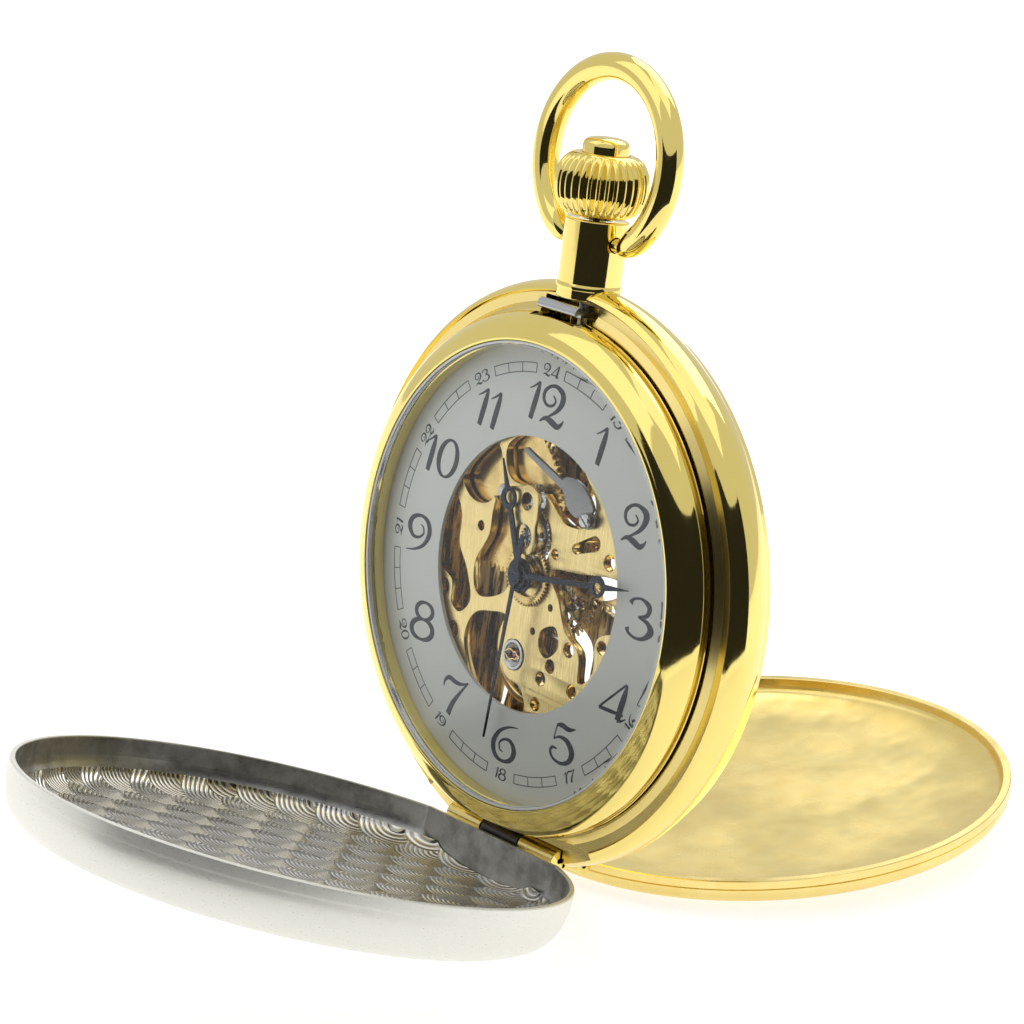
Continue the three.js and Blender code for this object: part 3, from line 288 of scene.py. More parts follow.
def ribbon(line, depths, steps=5, closed=False):
    """A flat strip along (x, z, width) points, between two depths."""
    points = [Vector(p) for p in (flowing(line, steps, closed) if steps else line)]
    first, last = (points[-1], points[0]) if closed else (points[0], points[-1])
    y0, y1 = depths
    bm = bmesh.new()
    ends = []
    for p, behind, ahead in zip(points, [first, *points], [*points[1:], last]):
        along = (ahead - behind).to_2d().normalized()
        side = Vector((-along.y, along.x)) * max(p.z, 0.002) / 2
        left, right = p.to_2d() + side, p.to_2d() - side
        corners = ((left, y0), (right, y0), (right, y1), (left, y1))
        ends.append([bm.verts.new((at.x, y, at.y)) for at, y in corners])
    return stitched(bm, ends, closed)


def wire(points, radii, sides):
    """A round wire along points, with a radius at each one."""
    bm = bmesh.new()
    path = [Vector(p) for p in points]
    side = None
    rings = []
    for p, behind, ahead, r in zip(path, [path[0], *path], [*path[1:], path[-1]], radii):
        along = (ahead - behind).normalized()
        if side is None:
            side = along.orthogonal().normalized()
        side = (side - along * side.dot(along)).normalized()
        over = along.cross(side)
        angles = [TURN * k / sides for k in range(sides)]
        rings.append([bm.verts.new(p + r * (math.cos(a) * side + math.sin(a) * over)) for a in angles])
    return stitched(bm, rings)


def about(bm, degrees, at=(0, 0)):
    """Turns a shape clockwise, as seen from the front, about the y direction through (x, z)."""
    centre = Matrix.Translation((at[0], 0, at[1]))
    return moved(bm, centre @ Matrix.Rotation(math.radians(degrees), 4, "Y") @ centre.inverted())


def merged(*parts):
    """Several closed shapes in one bmesh."""
    whole = parts[0]
    for part in parts[1:]:
        mesh = bpy.data.meshes.new("part")
        part.to_mesh(mesh)
        part.free()
        whole.from_mesh(mesh)
        bpy.data.meshes.remove(mesh)
    return whole


def object_of(bm, name="tool"):
    bmesh.ops.recalc_face_normals(bm, faces=bm.faces)
    mesh = bpy.data.meshes.new(name)
    bm.to_mesh(mesh)
    bm.free()
    made = bpy.data.objects.new(name, mesh)
    bpy.context.scene.collection.objects.link(made)
    return made


def combined(bm, operation, *others):
    """A new bmesh: bm with other shapes cut away or joined on."""
    base = object_of(bm, "base")
    tools = [object_of(other) for other in others]
    for tool in tools:
        modifier = base.modifiers.new("boolean", "BOOLEAN")
        modifier.operation = operation
        modifier.solver = "EXACT"
        modifier.object = tool
    bpy.context.view_layer.update()
    evaluated = base.evaluated_get(bpy.context.evaluated_depsgraph_get())
    out = bmesh.new()
    out.from_mesh(evaluated.to_mesh())
    evaluated.to_mesh_clear()
    for used in (base, *tools):
        mesh = used.data
        bpy.data.objects.remove(used)
        bpy.data.meshes.remove(mesh)
    return out


def cut(bm, *tools):
    return combined(bm, "DIFFERENCE", *tools)


def joined(bm, *others):
    return combined(bm, "UNION", *others)


def piece(name, bm, material, body, slot, replaces=(), place=WATCH, sharp_deg=35, second=None):
    """Puts a shape in the scene as a finished piece that rides on a CAD body.

    second is another material and a test of a face's centre and normal that says where it goes.
    """
    made = object_of(bm, name)
    mesh = made.data
    mesh.materials.append(material)
    if second:
        other, wanted = second
        mesh.materials.append(other)
        for face in mesh.polygons:
            face.material_index = int(wanted(face.center, face.normal))
    mesh.transform(place)
    mesh.shade_smooth()
    mesh.set_sharp_from_angle(angle=math.radians(sharp_deg))
    made.modifiers.new("face_weighted_normals", "WEIGHTED_NORMAL").keep_sharp = True
    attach(made, body)
    if replaces:
        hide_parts(*replaces)


# ---- Materials ----
class Paint:
    """Short calls for building one node material."""

    def __init__(self, name, color, roughness, metallic=1.0, **sockets):
        self.material = bpy.data.materials.new(name)
        self.material.use_nodes = True
        self.nodes = self.material.node_tree.nodes
        self.links = self.material.node_tree.links
        self.shader = self.nodes["Principled BSDF"]
        sockets.update(Base_Color=(*color, 1), Roughness=roughness, Metallic=metallic)
        for socket, value in sockets.items():
            self.shader.inputs[socket.replace("_", " ")].default_value = value

    def feed(self, socket, value):
        if isinstance(value, bpy.types.NodeSocket):
            self.links.new(value, socket)
        else:
            socket.default_value = value

    def node(self, kind, inputs=None, **settings):
        made = self.nodes.new("ShaderNode" + kind)
        for key, value in settings.items():
            setattr(made, key, value)
        for socket, value in (inputs or {}).items():
            self.feed(made.inputs[socket], value)
        return made

    def math(self, operation, *values):
        return self.node("Math", dict(enumerate(values)), operation=operation).outputs[0]

    def place(self, frame_matrix=WATCH, scale=(1, 1, 1)):
        """Coordinates of a surface point in millimetres in a frame, stretched by scale."""
        inverse = frame_matrix.inverted()
        move = self.node("Mapping", {
            "Vector": self.node("TexCoord").outputs["Object"], "Location": inverse.to_translation(),
            "Rotation": inverse.to_euler(), "Scale": (1 / MM,) * 3})
        return self.node("Mapping", {"Vector": move.outputs[0], "Scale": scale}).outputs[0]

    def noise(self, vector, scale, detail=2.0, roughness=0.5):
        inputs = {"Vector": vector, "Scale": scale, "Detail": detail, "Roughness": roughness}
        return self.node("TexNoise", inputs).outputs["Fac"]

    def between(self, value, low, high, start=0.0, end=1.0):
        inputs = {"Value": value, "From Min": start, "From Max": end, "To Min": low, "To Max": high}
        return self.node("MapRange", inputs).outputs["Result"]

    def mix(self, factor, first, second):
        made = self.node("Mix", {"Factor": factor}, data_type="RGBA")
        for socket, value in ((made.inputs[6], first), (made.inputs[7], second)):
            self.feed(socket, value if isinstance(value, bpy.types.NodeSocket) else (*value, 1))
        return made.outputs[2]

    def stain(self, factor, first, second):
        self.feed(self.shader.inputs["Base Color"], self.mix(factor, first, second))

    def polish(self, factor, low, high, start=0.3, end=0.7):
        self.feed(self.shader.inputs["Roughness"], self.between(factor, low, high, start, end))

    def bump(self, height, strength, distance, **under):
        inputs = {"Strength": strength, "Distance": distance, "Height": height, **under}
        normal = self.node("Bump", inputs).outputs["Normal"]
        self.feed(self.shader.inputs["Normal"], normal)
        return normal


def polished_gold():
    """Mirror gold with faint handling marks."""
    gold_color = (0.92, 0.76, 0.26)
    paint = Paint("polished_gold", gold_color, 0.06)
    place = paint.place()
    paint.stain(paint.noise(place, 0.25, 3.0), gold_color, (0.89, 0.71, 0.21))
    paint.polish(paint.noise(paint.place(scale=(1, 6, 1)), 2.2, 4.0, 0.7), 0.035, 0.12, 0.35, 0.75)
    paint.bump(paint.noise(place, 0.5, 1.0), 0.03, 0.00006)
    return paint.material


def satin_gold():
    """Gold with the soft clouded sheen of a lightly blasted lid."""
    light = (0.95, 0.80, 0.34)
    paint = Paint("satin_gold", light, 0.28)
    place = paint.place(REAR_COVER)
    warp = paint.noise(place, 0.16, 2.0)
    paint.stain(paint.noise(place, 0.42, 3.0, 0.6), light, (0.84, 0.62, 0.19))
    paint.polish(warp, 0.16, 0.34)
    paint.bump(warp, 0.2, 0.0005, Normal=paint.bump(paint.noise(place, 6.0, 2.0), 0.06, 0.00003))
    return paint.material


def ledge_gold():
    """Gold turned on a lathe: fine rings about the watch's axis."""
    paint = Paint("ledge_gold", (0.80, 0.64, 0.24), 0.2)
    split = paint.node("SeparateXYZ", {0: paint.place()})
    squares = [paint.math("POWER", split.outputs[k], 2.0) for k in (0, 2)]
    radius = paint.math("SQRT", paint.math("ADD", *squares))
    rings = paint.noise(paint.node("CombineXYZ", {0: radius}).outputs[0], 7.0, 3.0, 0.7)
    paint.polish(rings, 0.12, 0.3)
    paint.bump(rings, 0.25, 0.00001)
    return paint.material


def silver():
    """The plated outside of the front cover, which shines less than bare metal."""
    light = (0.90, 0.89, 0.81)
    paint = Paint("satin_silver", light, 0.34, 0.65)
    paint.stain(paint.noise(paint.place(FRONT_COVER), 0.3, 3.0), light, (0.86, 0.85, 0.77))
    marks = paint.noise(paint.place(FRONT_COVER, (1, 5, 1)), 3.0, 4.0, 0.7)
    paint.polish(marks, 0.272, 0.578, 0.35, 0.75)
    return paint.material


def brushed_silver():
    """The inner wall of the front cover: grey, grained along the wall, a little tarnished."""
    light = (0.52, 0.52, 0.50)
    paint = Paint("brushed_silver", light, 0.35)
    grain = paint.noise(paint.place(FRONT_COVER, (0.15, 1, 0.15)), 9.0, 4.0, 0.7)
    stains = paint.noise(paint.place(FRONT_COVER), 0.35, 5.0, 0.65)
    paint.stain(paint.between(stains, 0.0, 1.0, 0.42, 0.62), light, (0.30, 0.30, 0.29))
    paint.polish(grain, 0.25, 0.45)
    paint.bump(grain, 0.3, 0.00002)
    return paint.material


FAN_WIDTH = 5.6  # of one fan of the engine turning
FAN_ROW = 2.7  # from one row of fans to the next
FAN_R = 4.3
GROOVE = 0.42  # from one arc to the next


def engine_turned_silver():
    """Rows of overlapping fans, each of fine concentric arcs, like fish scales, with their light and shade
    painted into the colour.
    """
    paint = Paint("engine_turned_silver", (0.78, 0.78, 0.76), 0.16)
    calc = paint.math
    split = paint.node("SeparateXYZ", {0: paint.place(FRONT_COVER)})
    across, along = split.outputs[0], split.outputs[2]
    taken, fan_dx, fan_reach = 0.0, 0.0, 0.0
    for rows_below in (1, 0, -1):
        row = calc("SUBTRACT", calc("FLOOR", calc("DIVIDE", along, FAN_ROW)), float(rows_below))
        odd = calc("MULTIPLY", calc("FLOORED_MODULO", row, 2.0), FAN_WIDTH / 2)
        shifted = calc("SUBTRACT", across, odd)
        column = calc("MULTIPLY", calc("ROUND", calc("DIVIDE", shifted, FAN_WIDTH)), FAN_WIDTH)
        dx = calc("SUBTRACT", shifted, column)
        dz = calc("SUBTRACT", along, calc("MULTIPLY", row, FAN_ROW))
        reach = calc("SQRT", calc("ADD", calc("MULTIPLY", dx, dx), calc("MULTIPLY", dz, dz)))
        share = calc("SUBTRACT", 1.0, taken)
        if rows_below >= 0:
            share = calc("MULTIPLY", share, calc("LESS_THAN", reach, FAN_R))
        fan_dx = calc("ADD", fan_dx, calc("MULTIPLY", dx, share))
        fan_reach = calc("ADD", fan_reach, calc("MULTIPLY", reach, share))
        taken = calc("ADD", taken, share)
    wave = calc("SINE", calc("MULTIPLY", fan_reach, TURN / GROOVE))
    paint.bump(calc("ADD", wave, calc("MULTIPLY", fan_reach, 0.5)), 1.0, 0.00004)
    # Painted light and shade: one side of each fan is painted lighter and the other darker, and the crests of
    # the arcs are painted as highlights.
    side = paint.between(calc("DIVIDE", fan_dx, fan_reach), 0.0, 1.0, -0.35, 0.75)
    ridge_painted_highlight = paint.between(wave, 0.0, 0.8, -0.1, 1.0)
    wear = paint.noise(paint.place(FRONT_COVER), 0.5, 4.0)
    # The painted lit tone and the painted shaded tone of the arcs, each varied by wear.
    lit_arc_color = paint.mix(wear, (0.92, 0.92, 0.91), (0.74, 0.74, 0.71))
    shaded_arc_color = paint.mix(wear, (0.30, 0.29, 0.26), (0.36, 0.31, 0.19))
    paint.stain(calc("ADD", calc("MULTIPLY", side, 0.7), ridge_painted_highlight), lit_arc_color, shaded_arc_color)
    paint.polish(wear, 0.14, 0.28)
    return paint.material


def grained(name, first, second, shine, stretch=(1, 1, 12), grain=1.4):
    """Metal with fine graining; stretch packs it along one direction."""
    paint = Paint(name, first, 0.3)
    lines = paint.noise(paint.place(scale=stretch), grain, 3.0, 0.65)
    paint.stain(lines, first, second)
    paint.polish(lines, *shine)
    paint.bump(lines, 0.35, 0.00001)
    return paint.material


def streaked_brass():
    """The gilt undersides of the bridges: painted shade, with upright streaks of painted reflection."""
    painted_shade_color = (0.05, 0.025, 0.01)
    paint = Paint("brass_painted_shade", painted_shade_color, 0.25, 0.55)
    painted_reflection_streaks = paint.noise(paint.place(scale=(2.2, 1, 0.35)), 0.6, 3.0, 0.6)
    # Dark painted shade, broken by bright upright streaks of painted reflection.
    paint.stain(paint.between(painted_reflection_streaks, 0.0, 1.0, 0.42, 0.58), painted_shade_color, (1.0, 0.72, 0.28))
    paint.polish(painted_reflection_streaks, 0.15, 0.4)
    return paint.material


def dial_silvering():
    """A matte silvered dial, very finely grained."""
    light = (0.80, 0.80, 0.78)
    paint = Paint("dial_silvering", light, 0.5, 0.2)
    grain = paint.noise(paint.place(scale=(1, 1, 8)), 6.0, 3.0, 0.6)
    paint.stain(grain, light, (0.85, 0.85, 0.83))
    paint.bump(grain, 0.15, 0.00001)
    return paint.material


def clouded(name, first, second, roughness, scale, detail, **sockets):
    """A smooth material, not metal, whose colour drifts between two."""
    paint = Paint(name, first, roughness, 0.0, **sockets)
    paint.stain(paint.noise(paint.place(), scale, detail), first, second)
    return paint.material


def glass():
    """Clear crystal that lets lamp light through to the dial."""
    tint = (0.97, 0.99, 0.98)
    paint = Paint("crystal", tint, 0.0, 0.0, Transmission_Weight=1.0, IOR=1.2)
    shadow = paint.node("LightPath").outputs["Is Shadow Ray"]
    clear = paint.node("BsdfTransparent", {0: (*tint, 1)})
    chooser = paint.node("MixShader", {0: shadow, 1: paint.shader.outputs[0], 2: clear.outputs[0]})
    paint.feed(paint.nodes["Material Output"].inputs["Surface"], chooser.outputs[0])
    return paint.material


gold = polished_gold()
lid_gold = satin_gold()
turned_gold = ledge_gold()
bright_silver = silver()
dull_silver = brushed_silver()
engraved_silver = engine_turned_silver()
crystal = glass()
dial_face = dial_silvering()
ink = clouded("slate_ink", (0.03, 0.035, 0.045), (0.06, 0.07, 0.085), 0.45, 3.0, 3.0)
red_stone = clouded("ruby", (0.40, 0.02, 0.15), (0.52, 0.06, 0.26), 0.08, 2.5, 2.0,
                    Transmission_Weight=0.5, IOR=1.76)
white_nylon = clouded("white_nylon", (0.78, 0.80, 0.78), (0.86, 0.88, 0.85), 0.45, 1.5, 3.0)
grey_steel = grained("steel", (0.52, 0.53, 0.54), (0.42, 0.43, 0.44), (0.2, 0.38))
dark_steel = grained("dark_steel", (0.09, 0.085, 0.08), (0.05, 0.05, 0.05), (0.25, 0.4))
bright_steel = grained("bright_steel", (0.52, 0.52, 0.52), (0.40, 0.40, 0.40), (0.14, 0.28))
soft_steel = grained("soft_steel", (0.27, 0.27, 0.275), (0.20, 0.20, 0.205), (0.26, 0.4))
blued_steel = grained("blued_steel", (0.035, 0.042, 0.055), (0.02, 0.025, 0.035), (0.22, 0.36))
brushed_brass = grained("brushed_brass", (0.88, 0.70, 0.34), (0.72, 0.54, 0.22), (0.22, 0.42),
                        (9, 1, 0.35), 1.3)
bright_brass = grained("bright_brass", (0.90, 0.68, 0.28), (0.52, 0.33, 0.10), (0.1, 0.2), (1, 1, 1), 0.5)
wheel_brass = grained("wheel_brass", (0.84, 0.63, 0.27), (0.50, 0.33, 0.12), (0.16, 0.3), (1, 1, 1), 0.8)
brass_painted_shade = streaked_brass()


def gold_piece(name, bm, body, nodes, **more):
    piece(name, bm, gold, body, "polished_gold", nodes, **more)


def steel_piece(name, bm, body, node, material=bright_steel):
    piece(name, bm, material, body, "steel", [node])


def brass_piece(name, bm, body, node, material=wheel_brass):
    piece(name, bm, material, body, "train_brass", [node])


# ---- Case ----
def knuckles(hinge):
    """The hinge tubes that stand on the case, one on each side of the cover's."""
    inner = hinge["middle"] + KNUCKLE_GAP
    return [bar(hinge["r"], span, hinge["y"], hinge["z"])
            for span in ((-hinge["half"], -inner), (inner, hinge["half"]))]


def case_band():
    bulge = flowing([(23.98, 0.86), (24.4, 1.18), (24.75, 1.85), (24.86, 2.6), (24.72, 3.4), (24.42, 4.15),
                     (24.1, 4.75)], 5)
    ledge_y = LEDGE_Y + LEDGE_DIP
    profile = rounded([(23.98, 0.86), (23.78, ledge_y), (22.95, ledge_y), (22.35, 0.7), (CASE_BORE_R, 0.56),
                       (CASE_BORE_R, 5.2), (22.45, 5.2), (22.45, 5.44), (23.8, 5.44), (24.1, 4.75)], 0.07)
    ring = turned([*bulge[::-1], *profile[1:-1]], ROUND)
    wall_seat = block((-11, 11), (-1, 1.3), (-26, CHORD_Z + CHORD_WALL + 0.2), 0.1)
    front_pocket = block((-7.35, 7.35), (-1, 2.25), (-25.5, -22.15), 0.1)
    rear_pocket = block((-6.15, 6.15), (4.25, 6.2), (-26, -23.5), 0.1)
    latch_pocket = block((-3.45, 3.45), (0, 4.1), (21.6, 23.4), 0.12)
    band = cut(ring, wall_seat, front_pocket, rear_pocket, latch_pocket)
    webs = [block(span, (1.5, 2.5), (-23.9, -22.3), 0.05) for span in ((-7.2, -2.6), (2.6, 7.2))]
    rear_webs = [block(span, (4.0, 5.0), (-24.3, -23.2), 0.05) for span in ((-6.0, -2.1), (2.1, 6.0))]
    return merged(band, *webs, *rear_webs, *knuckles(FRONT_HINGE), *knuckles(REAR_HINGE))


def front_bezel():
    dome = flowing([(BEZEL_R, -0.3), (22.02, -0.85), (21.55, -1.5), (20.95, -1.95), (20.3, -2.22)], 5)
    lip = [(19.95, -2.3), (19.75, -2.28), (19.75, -1.25), (REHAUT_R, -1.25), (REHAUT_R, -0.05), (20.0, -0.05),
           (20.0, 0.44), (BEZEL_R, 0.44)]
    ring = turned([*dome, *rounded(lip, 0.06)], ROUND)
    cover_flat = block((-9, 9), (-3, 1), (-23, BEZEL_FLAT_Z), 0)
    return cut(ring, block((-2.85, 2.85), (-1, 1), (21.55, 23), 0.1), cover_flat)


def rear_bezel():
    profile = [(REHAUT_R, 5.3), (22.35, 5.3), (22.35, 5.85), (21.6, 6.45), (20.4, 6.74), (19.75, 6.74),
               (19.75, 5.9), (REHAUT_R, 5.9)]
    return turned(rounded(profile, 0.12), ROUND)


def on_ledge(centre, normal):
    """The turned ledge between the bezel and the band's rounded side."""
    return normal.y < -0.5 and math.hypot(centre.x, centre.z) < 23.8 and centre.y < 1.5


def crystal_dome():
    dome = flowing([(0.0, -2.75), (6, -2.735), (12, -2.66), (16, -2.52), (18.6, -2.36)], 6)
    rim = [(19.1, -2.3), (19.3, -2.24), (CRYSTAL_R, -2.1), (CRYSTAL_R, -1.35), (19.34, -1.3), (0, -1.3)]
    return turned([*dome, *rim], ROUND)


def rear_crystal():
    return turned(rounded([(0, 6.88), (CRYSTAL_R, 6.68), (CRYSTAL_R, 5.97), (0, 5.97)], 0.08), ROUND)


gold_piece("case_band_shell", case_band(), "case", ["case_band"], second=(turned_gold, on_ledge))
gold_piece("front_bezel_ring", front_bezel(), "case", ["front_bezel"])
gold_piece("rear_bezel_ring", rear_bezel(), "case", ["rear_bezel"])
piece("front_crystal_dome", crystal_dome(), crystal, "case", "crystal", ["front_crystal"])
piece("rear_crystal_disc", rear_crystal(), crystal, "case", "crystal", ["rear_crystal"])
for end, depths in (("front", (-2.2, -1.3)), ("rear", (5.95, 6.65))):
    piece(f"{end}_gasket_ring", washer(19.46, 19.69, depths, sides=ROUND), white_nylon, "case", "gasket",
          [f"{end}_gasket"])


def pendant_tube():
    band = turned([(0, 0.4), (24.0, 0.9), (24.6, 1.4), (24.93, 2.6), (24.66, 3.95), (24.27, 4.65),
                   (23.7, 5.5), (0, 5.6)], ROUND)
    holes = bar(0.68, (-4, 4), STEM_Y, BOW_PIVOT_Z, 0)
    return cut(upright(ring_profile(NECK_BORE_R, NECK_R, NECK_Z, 0.16), 64), band, holes)


def pendant_collar():
    """The bright fillet where the neck meets the band."""
    foot = [(-0.05, 24.95), (0.02, 24.95), (0.1, 24.75), (0.12, 24.6), (0.08, 24.45), (-0.05, 24.45)]
    return upright([(NECK_R + out, z) for out, z in foot], 64)


def bow_ring():
    """The bow's wire, thinner at its two ends, and the pins it swings on."""
    gap, steps = 27.5, 72
    points = [(x, STEM_Y, z) for x, z in arc_points((0, BOW_Z), BOW_R, gap - 90, 270 - gap, steps)]
    radii = [BOW_WIRE_R * min(1.0, 0.55 + 0.25 * math.sqrt(min(i, steps - i))) for i in range(steps + 1)]
    pins = [bar(0.6, span, STEM_Y, BOW_PIVOT_Z) for span in ((-4.3, -1.75), (1.75, 4.3))]
    pivot = Matrix.Translation((0, STEM_Y, BOW_PIVOT_Z))
    tilt = pivot @ Matrix.Rotation(-math.radians(BOW_TILT_DEG), 4, "X") @ pivot.inverted()
    return moved(merged(wire(points, radii, 32), *pins), tilt)


FLUTE_FLOOR_R = 2.9  # where the crown's grooves run out, at its top and foot


def crown_flutes(angle, r):
    """Pinched-in grooves with rounded ridges between them."""
    if r < FLUTE_FLOOR_R:
        return r
    ridge = 0.5 + 0.5 * math.cos(angle * CROWN_FLUTES)
    depth = min(1.0, (r - FLUTE_FLOOR_R) / 0.7)
    return r - 0.34 * depth * (1 - ridge**0.6)


def crown_onion():
    side = flowing([(2.75, 30.62), (3.35, 31.1), (3.82, 32.0), (3.98, 33.1), (3.85, 34.2), (3.4, 35.1),
                    (2.75, 35.66)], 4)
    profile = [(0.8, 30.62), *side, (2.45, 35.74), (2.12, 35.72), (2.08, 35.5), (2.08, 33.92), (0.62, 33.92),
               (0.62, 32.2), (0.8, 31.9)]
    return upright(profile, CROWN_FLUTES * 8, crown_flutes)


def crown_cap():
    dome = flowing([(1.97, 36.33), (1.86, 36.68), (1.5, 36.94), (0.8, 37.09), (0.0, 37.12)], 5)
    return upright([*dome, (0, 33.25), (0.5, 33.25), (0.5, 34.95), (1.97, 34.95)], 64)


gold_piece("pendant_neck", pendant_tube(), "case", ["pendant_tube"])
gold_piece("pendant_collar", pendant_collar(), "case", [])
gold_piece("bow_ring", bow_ring(), "bow", ["bow"])
gold_piece("crown_onion", crown_onion(), "crown", ["crown"], sharp_deg=50)
gold_piece("crown_cap", crown_cap(), "crown_button", ["crown_button"])
steel_piece("winding_stem_rod", upright(ring_profile(0, 0.7, (11.9, 31.8), 0.1), 32), "crown", "winding_stem")


# ---- Latch and hinges ----
def latch_tongue():
    hook = flowing([(22.62, 0.05), (22.62, -0.2), (22.5, -0.5), (22.7, -0.62), (23.05, -0.5), (23.28, -0.2),
                    (23.28, 0.0)], 3)
    outline = [*hook, (22.85, 0.06), (22.85, 3.6), (22.38, 3.6), (22.38, 0.05)]
    bm = bmesh.new()
    stitched(bm, [[bm.verts.new((x, y, z)) for z, y in outline] for x in (-2.5, 2.5)])
    bmesh.ops.recalc_face_normals(bm, faces=bm.faces)
    caps = [e for e in bm.edges if abs(e.verts[0].co.x - e.verts[1].co.x) < 1e-6]
    bmesh.ops.bevel(bm, geom=caps, offset=0.05, segments=2, profile=0.5, affect="EDGES")
    return bm


steel_piece("latch_tongue", latch_tongue(), "latch", "latch", grey_steel)
for side, hinge in (("front", FRONT_HINGE), ("rear", REAR_HINGE)):
    pin = bar(0.34, (-hinge["half"], hinge["half"]), hinge["y"], hinge["z"], 0.1)
    steel_piece(f"{side}_hinge_rod", pin, "case", f"{side}_hinge_pin", dark_steel)


# ---- Covers, drawn closed ----
def above(z):
    return block((-60, 60), (-30, 30), (z, 60), 0)


def front_shell():
    wall = flowing([(23.58, 0.0), (23.54, -0.8), (23.32, -1.8), (22.9, -2.72), (22.2, -3.44), (21.1, -3.96),
                    (19.4, -4.24), (16, -4.4), (9, -4.5), (0, -4.54)], 5)
    rim = [(0, LEDGE_Y), (23.5, LEDGE_Y), (COVER_R - 0.02, LEDGE_Y - 0.1), (COVER_R, 0.2)]
    outer = turned([*rim, *wall], ROUND)
    inner_wall = flowing([(23.1, -0.5), (22.95, -1.2), (22.55, -2.0), (21.9, -2.7), (20.9, -3.2), (17, -3.5),
                          (0, -3.8)], 5)
    hollow = turned([(0, 3), (23.16, 3), (23.16, LEDGE_Y - 0.1), (23.1, LEDGE_Y - 0.3), *inner_wall], ROUND)
    straight = combined(outer, "INTERSECT", above(CHORD_Z))
    room = combined(hollow, "INTERSECT", above(CHORD_Z + CHORD_WALL))
    return cut(straight, room, block((-3.2, 3.2), (-0.85, 0.4), (22.6, 23.32), 0.05))


def cover_hinge(hinge, leaf_y, leaf_z):
    span = (-hinge["middle"], hinge["middle"])
    return merged(block(span, leaf_y, leaf_z, 0.04), bar(hinge["r"], span, hinge["y"], hinge["z"], 0.06))


def liner():
    """The engine-turned plate laid in the cover, with a cove up to the wall."""
    face = flowing([(22.3, -1.38), (22.0, -1.95), (21.2, -2.45), (19.8, -2.75), (17, -2.87), (9, -3.02),
                    (0, -3.1)], 6)
    under = [(0, -3.3), (17, -3.06), (19.9, -2.94), (21.4, -2.6), (22.2, -2.02), (22.46, -1.42)]
    return combined(turned([*face, *under], ROUND), "INTERSECT", above(CHORD_Z + CHORD_WALL + 0.1))


def inside_wall(centre, normal):
    """The front cover's inner wall, the straight part of it too."""
    return -4.2 < centre.y < LEDGE_Y - 0.12 and normal.dot(Vector((centre.x, 0, centre.z))) < 0


def rear_shell():
    inner = flowing([(0, 7.7), (10, 7.68), (17, 7.52), (20.5, 7.2), (22.2, 6.75), (22.7, 6.2)], 6)
    outer = [(22.75, REAR_LEDGE_Y + 0.06), (22.82, REAR_LEDGE_Y), (23.42, REAR_LEDGE_Y), (REAR_COVER_R, 5.58),
             (REAR_COVER_R, 6.25), (23.42, 6.32), (23.3, 6.36), (23.42, 6.42), (23.46, 6.6), (23.3, 7.2)]
    back = flowing([(23.3, 7.2), (22.9, 7.6), (22.1, 7.88), (20.8, 8.03), (18, 8.16), (14, 8.24),
                    (0, 8.25)], 5)
    return turned([*inner, *outer, *back[1:]], ROUND)


piece("front_cover_shell", front_shell(), bright_silver, "front_cover", "silver_plate", ["front_cover"],
      FRONT_COVER, second=(dull_silver, inside_wall))
piece("front_cover_knuckle", cover_hinge(FRONT_HINGE, (0.3, 1.0), (-23.2, -21.75)), dark_steel, "front_cover",
      "silver_plate", place=FRONT_COVER)
piece("engine_turned_plate", liner(), engraved_silver, "front_cover", "engine_turned_silver",
      ["front_cover_liner"], FRONT_COVER)
piece("rear_cover_shell", rear_shell(), lid_gold, "rear_cover", "satin_gold", ["rear_cover"], REAR_COVER)
piece("rear_cover_knuckle", cover_hinge(REAR_HINGE, (5.52, 5.92), (-24.3, -23.0)), gold, "rear_cover",
      "satin_gold", place=REAR_COVER)


# ---- Dial ----
NUMERAL_R = 14.63
NUMERAL_HEIGHT = 3.3
SMALL_NUMERAL_HEIGHT = 0.98
INK_Y = DIAL_FACE_Y - 0.012  # the ink's face; each stroke after the first stands a little prouder
PROUD = 0.004
OVAL_STEPS = 20

# Strokes of the numerals as (x, z, width), on a unit height, with a slight slant.
SIX = [(0.95, 1.0, 0.02), (0.6, 0.93, 0.05), (0.25, 0.74, 0.09), (0.06, 0.42, 0.14), (0.15, 0.12, 0.12),
       (0.45, 0.0, 0.07), (0.78, 0.1, 0.11), (0.9, 0.34, 0.15), (0.75, 0.57, 0.09), (0.5, 0.59, 0.06),
       (0.3, 0.45, 0.05), (0.34, 0.28, 0.04), (0.46, 0.24, 0.02)]


def oval(centre, reach, thick, thin, slant):
    """A closed loop, thick at its sides and thin at its top and bottom."""
    out = []
    for i in range(OVAL_STEPS):
        angle = TURN * i / OVAL_STEPS
        x, z = reach[0] * math.cos(angle), reach[1] * math.sin(angle)
        width = thin + (thick - thin) * abs(math.cos(angle)) ** 1.3
        out.append((centre[0] + x + slant * z, centre[1] + z, width))
    return out


